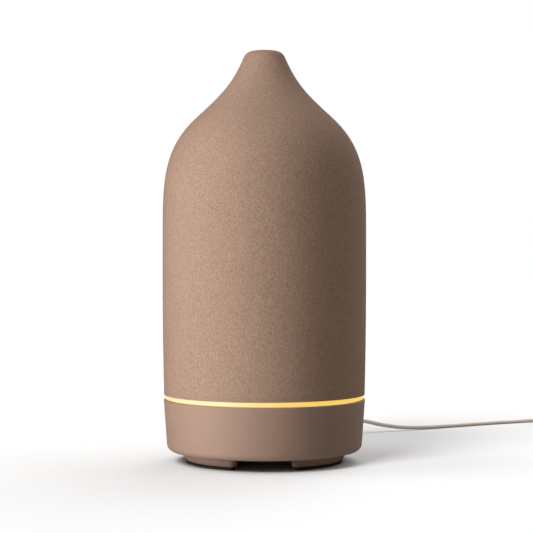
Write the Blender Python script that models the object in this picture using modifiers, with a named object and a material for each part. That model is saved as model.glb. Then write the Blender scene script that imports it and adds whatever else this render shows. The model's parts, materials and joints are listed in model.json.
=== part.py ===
"""Ultrasonic essential oil diffuser: a ceramic cover over a water tank, on a round moulded base.

Metres, +Z up. The origin is the centre of the surface that the object stands on, and the front is -Y.
"""

import math

import bmesh
import bpy
from mathutils import Euler, Matrix, Vector

MM = 0.001
GAP = 0.3 * MM  # kept between pieces that touch on the real object

# Outer form
BODY_RADIUS = 44.0 * MM
COVER_FOOT_RADIUS = 43.36 * MM
COVER_BOTTOM = 29.45 * MM
COVER_WALL = 3.6 * MM
COVER_TOP = 177.3 * MM
WIDEST_HEIGHT = 92.3 * MM
MIST_HOLE_RADIUS = 4.5 * MM
RING_RADIUS = 43.05 * MM
RING_BOTTOM, RING_TOP = 27.3 * MM, 29.2 * MM
BASE_TOP_RADIUS = 43.33 * MM
BASE_FOOT_RADIUS = 41.95 * MM
BASE_BOTTOM, BASE_TOP = 4.95 * MM, 27.0 * MM
BASE_FILLET = 3.0 * MM
BASE_WALL = 2.0 * MM
OUTER_STEPS = 40
INNER_STEPS = 28

# Feet
FOOT_OUTER, FOOT_INNER = 34.5 * MM, 29.8 * MM
FOOT_PAD_HEIGHT = 1.0 * MM
FOOT_COUNT = 3
FOOT_SPAN = 80.0  # degrees of arc; the rest of each third is an air gap

# Water tank and inner lid
TANK_RADIUS, TANK_WALL = 37.0 * MM, 2.0 * MM
TANK_RIM = 74.0 * MM
TANK_UNDERSIDE = 28.6 * MM
RISER_PLACE = Vector((0, -26.5 * MM, 0))
RISER_RADIUS, RISER_BORE = 5.6 * MM, 4.2 * MM
RISER_BOTTOM, RISER_TOP = 22.5 * MM, 69.0 * MM
SPOUT_RADIUS, SPOUT_WALL = 7.6 * MM, 1.6 * MM
SPOUT_BOTTOM, SPOUT_TOP = 112.0 * MM, 162.0 * MM

# Mist transducer, under the middle of the tank
SEAT_RADIUS = 12.9 * MM
SEAT_BOTTOM, SEAT_TOP = 24.3 * MM, 27.8 * MM
DISC_RADIUS = 10.0 * MM
RETAINER_RADIUS = 19.0 * MM
RETAINER_SCREW_CIRCLE = 16.7 * MM

# Fan, in the front half of the base
FAN_PLACE = Vector((0, -19.5 * MM, 0))
FAN_SIDE = 30.0 * MM
FAN_BOTTOM, FAN_TOP = 7.5 * MM, 15.5 * MM
FAN_BORE = 13.8 * MM
FAN_HOLE_PITCH = 12.0 * MM
BLADE_COUNT = 7

# Electronics, in the rear half
BOARD_BOTTOM, BOARD_TOP = 8.8 * MM, 10.4 * MM
SOCKET_HEIGHT = 15.5 * MM  # of the power socket's and the buttons' middles above the floor
BUTTON_ANGLE = 30.0  # degrees to each side of the back
BUTTON_TRAVEL = 0.5 * MM
LED_COUNT = 8
LED_CIRCLE = 39.2 * MM
CASE_SCREWS = [(22.5 * MM, 14 * MM), (-22.5 * MM, 14 * MM), (-22.5 * MM, -14 * MM), (22.5 * MM, -14 * MM)]

# Power cord and wall adapter
CORD_RADIUS = 1.1 * MM
PLUG_FRONT, PLUG_SHOULDER, PLUG_END = 39.8 * MM, 54.0 * MM, 68.0 * MM
COIL_CENTRE = Vector((170 * MM, 144 * MM, 0))
COIL_PITCH = 2.25 * MM
COIL_OUTER = 17.5 * MM  # to the middle of the outermost turn
COIL_TURNS_ACROSS, COIL_LAYERS = 3.8, 4
COIL_BOTTOM = 0.7 * MM  # the tie passes underneath
ADAPTER_LOW = Vector((167 * MM, 48 * MM, 0))
ADAPTER_HIGH = Vector((193 * MM, 102 * MM, 32 * MM))
ADAPTER_RELIEF_END = 112 * MM
# The route runs from the plug's strain relief, down to the floor and away to the right, to the coil.
CORD_ROUTE = [
    (0, 68.3, 15.5), (0.6, 75, 15.1), (3.5, 83, 14.0), (10, 91.5, 12.3), (19.5, 98, 10.4), (30, 102.5, 8.8),
    (40, 106, 7.4), (50.5, 109.5, 5.9), (60, 113.5, 3.6), (70, 118, 1.9), (80, 122.8, 1.25), (92, 129.5, 1.1),
    (105, 137.5, 1.1), (118, 145.5, 1.1), (131, 152.5, 1.1), (142, 157.3, 1.25), (152, 160.2, 1.5), (160, 161.2, 1.7),
]  # mm
CORD_TAIL_ROUTE = [
    (180, 112.3, 16), (180.3, 116, 15.8), (181.8, 122, 14.2), (184.2, 127.4, 12), (186.2, 131.8, 10),
]  # mm

FINISHES = {  # colour, roughness, metallic
    "stoneware": ((0.38, 0.24, 0.17), 0.85, 0.0),
    "base_plastic": ((0.36, 0.23, 0.16), 0.6, 0.0),
    "light_guide": ((1.0, 0.78, 0.32), 0.4, 0.0),
    "white_plastic": ((0.82, 0.82, 0.80), 0.4, 0.0),
    "rubber": ((0.02, 0.02, 0.02), 0.8, 0.0),
    "black_plastic": ((0.03, 0.03, 0.03), 0.5, 0.0),
    "silicone": ((0.75, 0.75, 0.72), 0.6, 0.0),
    "steel": ((0.6, 0.6, 0.6), 0.3, 1.0),
    "brass": ((0.75, 0.58, 0.28), 0.3, 1.0),
    "copper": ((0.72, 0.38, 0.20), 0.35, 1.0),
    "aluminium": ((0.75, 0.75, 0.76), 0.4, 1.0),
    "circuit_board": ((0.02, 0.16, 0.07), 0.5, 0.0),
    "cord_jacket": ((0.72, 0.66, 0.61), 0.5, 0.0),
    "red_wire": ((0.6, 0.03, 0.03), 0.5, 0.0),
}


# Scene and materials

def clear_scene():
    for obj in list(bpy.data.objects):
        bpy.data.objects.remove(obj, do_unlink=True)
    for collection in list(bpy.data.collections):
        bpy.data.collections.remove(collection)


def new_collection(name):
    collection = bpy.data.collections.new(name)
    bpy.context.scene.collection.children.link(collection)
    return collection


def material(finish):
    found = bpy.data.materials.get(finish)
    if found:
        return found
    colour, roughness, metallic = FINISHES[finish]
    made = bpy.data.materials.new(finish)
    made.use_nodes = True
    shader = made.node_tree.nodes["Principled BSDF"]
    shader.inputs["Base Color"].default_value = (*colour, 1)
    shader.inputs["Roughness"].default_value = roughness
    shader.inputs["Metallic"].default_value = metallic
    return made


clear_scene()
PARTS = new_collection("oil_diffuser")
CUTTERS = new_collection("cutters")


def keep(obj, finish):
    """Puts a made object among the parts, with its finish. A finish of None makes it a cutter."""
    for collection in list(obj.users_collection):
        collection.objects.unlink(obj)
    if finish is None:
        CUTTERS.objects.link(obj)
        obj.hide_render = True
        obj.display_type = "WIRE"
    else:
        PARTS.objects.link(obj)
        obj.data.materials.append(material(finish))
    return obj


def pivot(name, place):
    """An empty on a joint's axis, which the pieces that move together are parented to."""
    made = bpy.data.objects.new(name, None)
    made.location = place
    PARTS.objects.link(made)
    return made


def attach(parent, *pieces):
    for piece in pieces:
        piece.parent = parent
        piece.matrix_parent_inverse = Matrix.Translation(parent.location).inverted()


# Shapes

def outline_area(points):
    """Twice the signed area of a closed outline, positive when it runs anticlockwise."""
    following = points[1:] + points[:1]
    return sum(a[0] * b[1] - b[0] * a[1] for a, b in zip(points, following))


def turned(name, profile, finish, steps=INNER_STEPS, place=(0, 0, 0), turn=(0, 0, 0)):
    """A body of revolution about the local Z axis. The profile holds (radius, height) points."""
    points = [tuple(p) for p in profile]
    if outline_area(points) > 0:  # a Screw wants its outer side to run downwards
        points.reverse()
    on_axis = [i for i, p in enumerate(points) if p[0] < 1e-9]
    closed = not on_axis
    if on_axis and (0 not in on_axis or len(points) - 1 not in on_axis):
        first = on_axis[1]  # the outline is cut open between its two points on the axis
        points = points[first:] + points[:first]
    mesh = bpy.data.meshes.new(name)
    edges = [(i, i + 1) for i in range(len(points) - 1)]
    if closed:
        edges.append((len(points) - 1, 0))
    mesh.from_pydata([(r, 0, z) for r, z in points], edges, [])
    obj = bpy.data.objects.new(name, mesh)
    obj.location = place
    obj.rotation_euler = turn
    screw = obj.modifiers.new("turn", "SCREW")
    screw.steps = screw.render_steps = steps
    screw.use_merge_vertices = True
    screw.merge_threshold = 0.00001
    return keep(obj, finish)


def box(name, low, high, finish, turn=(0, 0, 0)):
    """A block between two corners, turned about its own middle."""
    low, high = Vector(low), Vector(high)
    bpy.ops.mesh.primitive_cube_add(size=1, location=(low + high) / 2)
    obj = bpy.context.object
    obj.name = obj.data.name = name
    obj.data.transform(Matrix.Diagonal((*(high - low), 1)))
    obj.rotation_euler = turn
    return keep(obj, finish)


def rod(name, radius, low, high, finish, place=(0, 0, 0), steps=16, turn=(0, 0, 0)):
    """A cylinder from low to high along the local Z axis through place."""
    bpy.ops.mesh.primitive_cylinder_add(vertices=steps, radius=radius, depth=high - low)
    obj = bpy.context.object
    obj.name = obj.data.name = name
    obj.data.transform(Matrix.Translation((0, 0, (low + high) / 2)))
    obj.location = place
    obj.rotation_euler = turn
    obj.data.shade_smooth()
    obj.data.set_sharp_from_angle(angle=math.radians(40))
    return keep(obj, finish)


def combine(obj, operation, others):
    for other in others:
        step = obj.modifiers.new(operation.lower(), "BOOLEAN")
        step.operation = operation
        step.solver = "EXACT"
        step.object = other
    return obj


def cut(obj, *cutters):
    return combine(obj, "DIFFERENCE", cutters)


def join(obj, *additions):
    return combine(obj, "UNION", additions)


def rounded(obj, width, segments=1):
    """Rounds every sharp edge of a block."""
    bevel = obj.modifiers.new("rounded_edges", "BEVEL")
    bevel.width = width
    bevel.segments = segments
    return obj


def curve_object(name, points, finish, dimensions):
    data = bpy.data.curves.new(name, "CURVE")
    data.dimensions = dimensions
    spline = data.splines.new("POLY")
    spline.points.add(len(points) - 1)
    for spot, point in zip(spline.points, points):
        spot.co = (*point, 1)
    obj = bpy.data.objects.new(name, data)
    return keep(obj, finish), data, spline


def tube(name, points, radius, finish):
    """A round wire along points."""
    obj, data, _ = curve_object(name, points, finish, "3D")
    data.bevel_depth = radius
    data.bevel_resolution = 2
    data.use_fill_caps = True
    return obj


def plate(name, outline, low, high, finish):
    """A flat piece with this outline, between two heights."""
    guide, data, spline = curve_object(f"{name}_outline", [(x, y, 0) for x, y in outline], None, "2D")
    spline.use_cyclic_u = True
    data.fill_mode = "BOTH"
    data.extrude = (high - low) / 2
    bpy.context.view_layer.update()
    mesh = bpy.data.meshes.new_from_object(guide.evaluated_get(bpy.context.evaluated_depsgraph_get()))
    bpy.data.objects.remove(guide, do_unlink=True)
    mesh.transform(Matrix.Translation((0, 0, (low + high) / 2)))
    welded = bmesh.new()
    welded.from_mesh(mesh)
    bmesh.ops.remove_doubles(welded, verts=welded.verts, dist=0.00001)
    welded.to_mesh(mesh)
    welded.free()
    return keep(bpy.data.objects.new(name, mesh), finish)


def bezier(p0, p1, p2, p3, count):
    """count points along a cubic curve, without its last one."""
    points = []
    for i in range(count):
        t = i / count
        s = 1 - t
        weights = (s**3, 3 * s * s * t, 3 * s * t * t, t**3)
        points.append(tuple(sum(w * p[k] for w, p in zip(weights, (p0, p1, p2, p3))) for k in range(2)))
    return points


def arc(centre, radius, start, end, count):
    """Points on an arc, ends included; angles in degrees."""
    angles = [math.radians(start + (end - start) * i / (count - 1)) for i in range(count)]
    return [(centre[0] + radius * math.cos(a), centre[1] + radius * math.sin(a)) for a in angles]


def smooth_route(route, spacing):
    """Points about spacing apart on a smooth curve through a route given in mm."""
    spots = [Vector(p) * MM for p in route]
    ends = [2 * spots[0] - spots[1], *spots, 2 * spots[-1] - spots[-2]]
    fine = []
    for a, b, c, d in zip(ends, ends[1:], ends[2:], ends[3:]):
        for i in range(12):
            t = i / 12
            fine.append(0.5 * (2 * b + (c - a) * t + (2 * a - 5 * b + 4 * c - d) * t**2
                               + (3 * b - a - 3 * c + d) * t**3))
    fine.append(spots[-1])
    length = sum((b - a).length for a, b in zip(fine, fine[1:]))
    count = max(2, round(length / spacing))
    wanted, along, kept = length / count, 0.0, [fine[0]]
    for a, b in zip(fine, fine[1:]):
        along += (b - a).length
        if along >= wanted * len(kept) - 1e-9 and len(kept) < count:
            kept.append(b)
    return kept + [fine[-1]]


# Cover, light ring and base

def cover_outline():
    """The ceramic cover's outer line from its foot to the start of its lip."""
    foot = (COVER_FOOT_RADIUS, COVER_BOTTOM)
    widest = (BODY_RADIUS, WIDEST_HEIGHT)
    waist = (29.2 * MM, 148.6 * MM)  # where the shoulder turns into the hollow of the neck
    lip = (8.7 * MM, 175.35 * MM)
    side = bezier(foot, (43.87 * MM, 51 * MM), (BODY_RADIUS, 61.6 * MM), widest, 4)
    shoulder = bezier(widest, (BODY_RADIUS, 119.7 * MM), (44.75 * MM, 134.3 * MM), waist, 8)
    neck = bezier(waist, (19.3 * MM, 157.75 * MM), (14.0 * MM, 162.7 * MM), lip, 5)
    return side + shoulder + neck


def offset_inwards(points, distance):
    """The same line moved towards the axis, at right angles to itself."""
    moved = []
    for i, (r, z) in enumerate(points):
        before, after = points[max(i - 1, 0)], points[min(i + 1, len(points) - 1)]
        along = Vector((after[0] - before[0], after[1] - before[1])).normalized()
        moved.append((r - along.y * distance, z + along.x * distance))
    return moved


def make_cover():
    outside = cover_outline()
    lip = arc((5.76 * MM, 174.1 * MM), 3.2 * MM, 24, 90, 4)
    lip += arc((5.7 * MM, COVER_TOP - 1.2 * MM), 1.2 * MM, 120, 180, 3)
    inside = [p for p in offset_inwards(outside, COVER_WALL) if p[0] > MIST_HOLE_RADIUS + 1.5 * MM]
    inside[0] = (inside[0][0], COVER_BOTTOM)
    throat = [(MIST_HOLE_RADIUS, inside[-1][1] + 4 * MM)]
    return turned("stone_cover", outside + lip + throat + inside[::-1], "stoneware", OUTER_STEPS)


def make_light_ring():
    """The translucent ring under the cover, with the skirt that takes light from the LEDs below."""
    skirt = (38.7 * MM, 40.7 * MM, 23.5 * MM)
    profile = [
        (RING_RADIUS, RING_TOP), (RING_RADIUS, RING_BOTTOM), (skirt[1], RING_BOTTOM), (skirt[1], skirt[2]),
        (skirt[0], skirt[2]), (skirt[0], RING_BOTTOM), (39.1 * MM, RING_BOTTOM + 0.4 * MM), (39.1 * MM, RING_TOP),
    ]
    return turned("light_ring", profile, "light_guide", OUTER_STEPS)


def socket_axis(angle):
    """The turn that lays a local Z axis level, pointing outwards angle degrees to the left of the back."""
    return Euler((math.radians(-90), 0, math.radians(angle)))


def make_base_shell():
    fillet_centre = (BASE_FOOT_RADIUS - BASE_FILLET, BASE_BOTTOM + BASE_FILLET)
    flange_top = BASE_BOTTOM + BASE_WALL
    profile = [(BASE_TOP_RADIUS - 0.45 * MM, BASE_TOP), (BASE_TOP_RADIUS, BASE_TOP - 0.45 * MM)]
    profile += arc(fillet_centre, BASE_FILLET, 0, -90, 5)
    profile += [(36 * MM, BASE_BOTTOM), (36 * MM, flange_top), (39 * MM, flange_top)]
    profile += [(39.9 * MM, flange_top + 1 * MM), (BASE_TOP_RADIUS - BASE_WALL, BASE_TOP)]
    shell = turned("base_shell", profile, "base_plastic", OUTER_STEPS)
    level = (0, 0, SOCKET_HEIGHT)
    holes = [rod("socket_hole", 5.2 * MM, 36 * MM, 46 * MM, None, level, 20, socket_axis(0))]
    for side in (1, -1):
        turn = socket_axis(side * BUTTON_ANGLE)
        holes.append(rod("button_hole", 3.75 * MM, 36 * MM, 46 * MM, None, level, 20, turn))
    return cut(shell, *holes)


def make_bottom_cover():
    top = BASE_BOTTOM + BASE_WALL
    profile = [(0, top), (35.7 * MM, top), (35.7 * MM, BASE_BOTTOM), (0, BASE_BOTTOM)]
    cover = turned("bottom_cover", profile, "base_plastic", OUTER_STEPS)
    openings = []
    for i in range(-3, 4):  # air inlet slots, as long as the round fan above lets them be
        across = i * 3.4 * MM
        half = math.sqrt((12.2 * MM) ** 2 - across**2)
        low = FAN_PLACE + Vector((across - 1 * MM, -half, BASE_BOTTOM - 1 * MM))
        high = FAN_PLACE + Vector((across + 1 * MM, half, top + 1 * MM))
        openings.append(box("air_slot", low, high, None))
    for x, y in CASE_SCREWS:
        openings.append(rod("screw_hole", 1.75 * MM, 0, 10 * MM, None, (x, y, 0), 12))
        openings.append(rod("screw_recess", 3.1 * MM, 4 * MM, BASE_BOTTOM + 1.1 * MM, None, (x, y, 0), 12))
    for x, y in fan_screw_places():
        openings.append(rod("fan_post_hole", 1.5 * MM, BASE_BOTTOM + 0.7 * MM, 10 * MM, None, (x, y, 0), 12))
    feet = []
    for i in range(FOOT_COUNT):
        blocks = foot_outline(FOOT_OUTER, FOOT_INNER, foot_angle(i))
        feet.append(plate("foot_block", blocks, FOOT_PAD_HEIGHT + GAP, BASE_BOTTOM + 0.5 * MM, None))
    return cut(join(cover, *feet), *openings)


def foot_outline(outer, inner, middle_angle):
    """An arc-shaped pad with round ends, about an angle measured from the +X axis."""
    half_width = (outer - inner) / 2
    middle = (outer + inner) / 2
    reach = FOOT_SPAN / 2 - math.degrees(half_width / middle)
    start, end = middle_angle - reach, middle_angle + reach
    outline = arc((0, 0), outer, start, end, 9)
    for angle, side in ((end, 1), (start, -1)):
        tip = (middle * math.cos(math.radians(angle)), middle * math.sin(math.radians(angle)))
        if side > 0:
            outline += arc(tip, half_width, angle, angle + 180, 6)[1:-1]
            outline += arc((0, 0), inner, end, start, 9)
        else:
            outline += arc(tip, half_width, angle + 180, angle + 360, 6)[1:-1]
    return outline


def foot_angle(i):
    """The middle of each foot, from the +X axis: the first air gap faces the front."""
    return -30 + 360 / FOOT_COUNT * i


def make_foot_pads():
    for i in range(FOOT_COUNT):
        outline = foot_outline(FOOT_OUTER - 0.6 * MM, FOOT_INNER + 0.6 * MM, foot_angle(i))
        plate(f"foot_pad_{i + 1}", outline, 0, FOOT_PAD_HEIGHT, "rubber")


# Tank and lid

def make_tank():
    inner = TANK_RADIUS - TANK_WALL
    profile = [
        (TANK_RADIUS, TANK_RIM), (TANK_RADIUS, 33 * MM), (38.3 * MM, 32 * MM), (38.3 * MM, TANK_UNDERSIDE),
        (14.5 * MM, TANK_UNDERSIDE), (14.5 * MM, SEAT_BOTTOM), (SEAT_RADIUS, SEAT_BOTTOM),
        (SEAT_RADIUS, SEAT_TOP), (8 * MM, SEAT_TOP), (8 * MM, 29.8 * MM), (inner - 3 * MM, 31 * MM),
        (inner, 33 * MM), (inner, TANK_RIM),
    ]
    tank = turned("water_tank", profile, "white_plastic", INNER_STEPS)
    additions, holes = [], []
    for x, y in CASE_SCREWS:
        place = (x, y, 0)
        additions.append(rod("case_boss", 3 * MM, 7.3 * MM, TANK_UNDERSIDE + 1 * MM, None, place, 12))
        holes.append(rod("case_boss_hole", 1.6 * MM, 6 * MM, 19 * MM, None, place, 10))
    for x, y in retainer_screw_places():
        place = (x, y, 0)
        additions.append(rod("seat_boss", 2.6 * MM, SEAT_BOTTOM, TANK_UNDERSIDE + 1 * MM, None, place, 12))
        holes.append(rod("seat_boss_hole", 1.35 * MM, 20 * MM, 27.8 * MM, None, place, 10))
    holes.append(rod("riser_hole", RISER_RADIUS + GAP, 20 * MM, 40 * MM, None, RISER_PLACE, 16))
    cut(join(tank, *additions), *holes)
    riser = [
        (RISER_RADIUS, RISER_TOP), (RISER_RADIUS, RISER_BOTTOM), (RISER_BORE, RISER_BOTTOM),
        (RISER_BORE, RISER_TOP),
    ]
    return tank, turned("air_riser", riser, "white_plastic", 16, RISER_PLACE)


def make_inner_lid():
    """The dome that closes the tank, and the tall spout on it that leads the mist up to the cover's hole."""
    flange, wall, seat = 36.6 * MM, SPOUT_WALL, TANK_RIM + GAP
    outside = [(flange, seat), (flange, seat + 3 * MM)]
    collar = (SPOUT_RADIUS, SPOUT_BOTTOM)
    dome = bezier((flange, seat + 3 * MM), (34 * MM, 96 * MM), (9 * MM, 92 * MM), collar, 7) + [collar]
    outside += dome[1:]
    inside = [(33 * MM, 69.5 * MM), (33 * MM, seat + 3 * MM), *offset_inwards(dome[1:], wall)]
    skirt = [(34.5 * MM, 69.5 * MM), (34.5 * MM, seat)]
    lid = turned("inner_lid", outside + inside[::-1] + skirt, "white_plastic", INNER_STEPS)
    foot, tip = SPOUT_BOTTOM + GAP, SPOUT_RADIUS - 1.2 * MM
    tube_walls = [
        (tip, SPOUT_TOP), (SPOUT_RADIUS, foot), (SPOUT_RADIUS - SPOUT_WALL, foot), (tip - SPOUT_WALL, SPOUT_TOP),
    ]
    return lid, turned("lid_spout", tube_walls, "white_plastic", 20)


# Transducer under the tank

def retainer_screw_places():
    angles = [math.radians(90 + 120 * i) for i in range(3)]
    return [(RETAINER_SCREW_CIRCLE * math.cos(a), RETAINER_SCREW_CIRCLE * math.sin(a)) for a in angles]


def screw(name, place, head, shank, length, points_up):
    """A pan-head screw whose head sits at place; head is (radius, height)."""
    radius, height = head
    profile = [
        (0, height), (0.75 * radius, height), (radius, 0.5 * height), (radius, 0),
        (shank, 0), (shank, shank - length), (0, -length),
    ]
    turn = (math.radians(180), 0, 0) if points_up else (0, 0, 0)
    return turned(name, profile, "steel", 10, place, turn)


def make_transducer():
    seal_top, seal_bottom = SEAT_TOP - GAP, SEAT_BOTTOM + GAP
    groove = (DISC_RADIUS + GAP, 25.4 * MM, 26.8 * MM)
    seal = [
        (SEAT_RADIUS - GAP, seal_top), (SEAT_RADIUS - GAP, seal_bottom), (9 * MM, seal_bottom),
        (9 * MM, groove[1]), (groove[0], groove[1]), (groove[0], groove[2]), (9 * MM, groove[2]),
        (9 * MM, seal_top),
    ]
    turned("transducer_seal", seal, "silicone", 20)
    rod("transducer_disc", DISC_RADIUS, groove[1] + GAP, groove[2] - GAP, "steel", steps=20)
    top, bottom = SEAT_BOTTOM - GAP, 22.6 * MM
    ring = [(RETAINER_RADIUS, top), (RETAINER_RADIUS, bottom), (6.5 * MM, bottom), (6.5 * MM, top)]
    retainer = turned("transducer_retainer", ring, "white_plastic", 20)
    places = retainer_screw_places()
    cut(retainer, *[rod("retainer_hole", 1.6 * MM, 20 * MM, 26 * MM, None, (x, y, 0), 10) for x, y in places])
    for i, (x, y) in enumerate(places):
        place = (x, y, bottom - GAP)
        screw(f"retainer_screw_{i + 1}", place, (2.3 * MM, 1.2 * MM), 1.05 * MM, 5.0 * MM, True)


# Fan and air duct

def fan_screw_places():
    return [(FAN_PLACE.x + s * FAN_HOLE_PITCH, FAN_PLACE.y + s * FAN_HOLE_PITCH) for s in (1, -1)]


def make_fan():
    half = FAN_SIDE / 2
    low = FAN_PLACE + Vector((-half, -half, FAN_BOTTOM))
    high = FAN_PLACE + Vector((half, half, FAN_TOP))
    frame = box("fan_frame", low, high, "black_plastic")
    bore = rod("fan_bore", FAN_BORE, 0, 20 * MM, None, FAN_PLACE, 24)
    corners = [
        rod("fan_hole", 1.7 * MM, 0, 20 * MM, None,
            (FAN_PLACE.x + sx * FAN_HOLE_PITCH, FAN_PLACE.y + sy * FAN_HOLE_PITCH, 0), 10)
        for sx in (1, -1) for sy in (1, -1)
    ]
    hub = rod("fan_hub_plate", 5.6 * MM, FAN_BOTTOM, FAN_BOTTOM + 1.2 * MM, None, FAN_PLACE, 16)
    struts = []
    for i in range(3):
        angle = math.radians(90 + 120 * i)
        middle = FAN_PLACE + Vector((math.cos(angle), math.sin(angle), 0)) * 9.7 * MM
        reach = Vector((5.2 * MM, 0.9 * MM, 0))
        low = middle - reach + Vector((0, 0, FAN_BOTTOM + 0.05 * MM))
        high = middle + reach + Vector((0, 0, FAN_BOTTOM + 1.1 * MM))
        struts.append(box("fan_strut", low, high, None, (0, 0, angle)))
    join(cut(frame, bore, *corners), hub, *struts)

    floor = FAN_BOTTOM + 1.2 * MM
    bearing = [(2.2 * MM, 13 * MM), (2.2 * MM, floor + GAP), (1.1 * MM, floor + GAP), (1.1 * MM, 13 * MM)]
    turned("fan_bearing", bearing, "brass", 12, FAN_PLACE)
    stator = [(4.7 * MM, 12.6 * MM), (4.7 * MM, floor + GAP), (2.6 * MM, floor + GAP), (2.6 * MM, 12.6 * MM)]
    turned("fan_stator", stator, "copper", 16, FAN_PLACE)

    rotor = pivot("fan_rotor", FAN_PLACE)
    cup = [
        (0, 15.2 * MM), (6 * MM, 15.2 * MM), (6.3 * MM, 14.8 * MM), (6.3 * MM, 9.4 * MM), (5.2 * MM, 9.4 * MM),
        (5.2 * MM, 14.2 * MM), (0, 14.2 * MM),
    ]
    impeller = turned("fan_impeller", cup, "black_plastic", 16, FAN_PLACE)
    blades = []
    for i in range(BLADE_COUNT):
        angle = 2 * math.pi * i / BLADE_COUNT
        middle = FAN_PLACE + Vector((math.cos(angle) * 9.5 * MM, math.sin(angle) * 9.5 * MM, 12.3 * MM))
        reach = Vector((3.7 * MM, 0.4 * MM, 3.1 * MM))
        turn = Euler((math.radians(38), 0, angle))
        blades.append(box("fan_blade", middle - reach, middle + reach, None, turn))
    join(impeller, *blades)
    shaft = rod("fan_shaft", 0.75 * MM, floor + GAP, 13.9 * MM, "steel", FAN_PLACE, 10)
    attach(rotor, impeller, shaft)
    for i, (x, y) in enumerate(fan_screw_places()):
        place = (x, y, FAN_TOP + GAP)
        screw(f"fan_screw_{i + 1}", place, (2.2 * MM, 1.2 * MM), 1.2 * MM, 9.6 * MM, False)


def make_air_duct():
    """The hood over the fan, whose spout enters the foot of the tank's air riser."""
    foot, roof, radius, wall = FAN_TOP + GAP, 19.8 * MM, 14.3 * MM, 1.2 * MM
    hood = [
        (0, roof), (radius - 1 * MM, roof), (radius, roof - 1 * MM), (radius, foot), (radius - wall, foot),
        (radius - wall, roof - wall), (0, roof - wall),
    ]
    duct = turned("air_duct", hood, "white_plastic", 20, FAN_PLACE)
    spout = rod("duct_spout", 3.8 * MM, roof - 0.6 * MM, 25 * MM, None, RISER_PLACE, 14)
    bore = rod("duct_bore", 2.8 * MM, roof - 2 * MM, 27 * MM, None, RISER_PLACE, 14)
    return cut(join(duct, spout), bore)


# Electronics

def make_main_board():
    board = rod("main_board", 37.4 * MM, BOARD_BOTTOM, BOARD_TOP, "circuit_board", steps=32)
    area = box("board_area", (-23.5 * MM, -2.5 * MM, 0), (23.5 * MM, 50 * MM, 30 * MM), None)
    combine(board, "INTERSECT", [area])
    sockets = []
    for x in (-8, 0.5, 9):  # mm; for the LED, transducer and fan leads
        low = ((x - 2.5) * MM, -1.5 * MM, BOARD_TOP - 0.5 * MM)
        high = ((x + 2.5) * MM, 2.5 * MM, BOARD_TOP + 3.2 * MM)
        sockets.append(box("lead_socket", low, high, None))
    holes = [rod("boss_notch", 3.6 * MM, 5 * MM, 15 * MM, None, (x, y, 0), 14) for x, y in CASE_SCREWS[:2]]
    holes += [rod("board_hole", 1.5 * MM, 5 * MM, 15 * MM, None, (x, y, 0), 10) for x, y in board_screw_places()]
    cut(join(board, *sockets), *holes)
    for i, (x, y) in enumerate(board_screw_places()):
        place = (x, y, BOARD_TOP + GAP)
        screw(f"board_screw_{i + 1}", place, (2.2 * MM, 1.2 * MM), 1.15 * MM, 3.2 * MM, False)


def board_screw_places():
    return [(side * 17.5 * MM, 2.5 * MM) for side in (1, -1)]


def make_board_parts():
    seat = BOARD_TOP + GAP
    rounded(box("controller_chip", (3.5 * MM, 7 * MM, seat), (11.5 * MM, 12 * MM, seat + 1.6 * MM),
                "black_plastic"), 0.2 * MM)
    coil = [
        (0, 17 * MM), (4 * MM, 17 * MM), (4 * MM, 15.8 * MM), (3.2 * MM, 15.8 * MM), (3.2 * MM, 12 * MM),
        (4 * MM, 12 * MM), (4 * MM, seat), (0, seat),
    ]
    turned("power_inductor", coil, "copper", 14, (11.5 * MM, 19 * MM, 0))
    can = [(0, 20 * MM), (3.6 * MM, 20 * MM), (4 * MM, 19.6 * MM), (4 * MM, seat), (0, seat)]
    turned("smoothing_capacitor", can, "black_plastic", 14, (-12.5 * MM, 20 * MM, 0))
    sink = box("heat_sink", (-7 * MM, 8 * MM, seat), (1 * MM, 22 * MM, 19.6 * MM), "aluminium")
    grooves = []
    for i in range(3):
        y = (10.1 + 4 * i) * MM
        low, high = (-8 * MM, y, seat + 2 * MM), (2 * MM, y + 1.8 * MM, 21 * MM)
        grooves.append(box("fin_groove", low, high, None))
    cut(sink, *grooves)


def make_power_socket():
    level = (0, 0, SOCKET_HEIGHT)
    low = (-4.5 * MM, 26 * MM, BOARD_TOP + GAP)
    high = (4.5 * MM, 39.2 * MM, 2 * SOCKET_HEIGHT - BOARD_TOP - GAP)
    jack = box("dc_jack", low, high, "black_plastic")
    cut(jack, rod("jack_bore", 3.05 * MM, 28.4 * MM, 45 * MM, None, level, 16, socket_axis(0)))
    rod("dc_jack_pin", 1.0 * MM, 28.7 * MM, 38 * MM, "steel", level, 10, socket_axis(0))


def make_button(name, angle):
    """A push button in the base's back, on the plunger of a switch that stands on the board."""
    level, turn = (0, 0, SOCKET_HEIGHT), socket_axis(angle)
    cap = [
        (0, 43.1 * MM), (3.1 * MM, 43.1 * MM), (3.4 * MM, 42.8 * MM), (3.4 * MM, 39.8 * MM),
        (4.5 * MM, 39.8 * MM), (4.5 * MM, 38.9 * MM), (1.5 * MM, 38.9 * MM), (1.5 * MM, 37.6 * MM), (0, 37.6 * MM),
    ]
    turned(f"{name}_button", cap, "base_plastic", 16, level, turn)
    rod(f"{name}_plunger", 1.7 * MM, 34.4 * MM, 37.3 * MM, "black_plastic", level, 12, turn)
    foot = BOARD_TOP + GAP - SOCKET_HEIGHT
    body = box(f"{name}_switch", (-3 * MM, foot, 32 * MM), (3 * MM, 3 * MM, 35.6 * MM), "black_plastic")
    body.data.transform(Matrix.Translation(body.location))
    body.data.transform(Matrix.Scale(-1, 4, (0, 1, 0)) @ Matrix.Scale(-1, 4, (1, 0, 0)))
    body.location = level
    body.rotation_euler = turn
    cut(body, rod("plunger_bore", 2.05 * MM, 33.5 * MM, 38 * MM, None, level, 12, turn))


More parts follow.
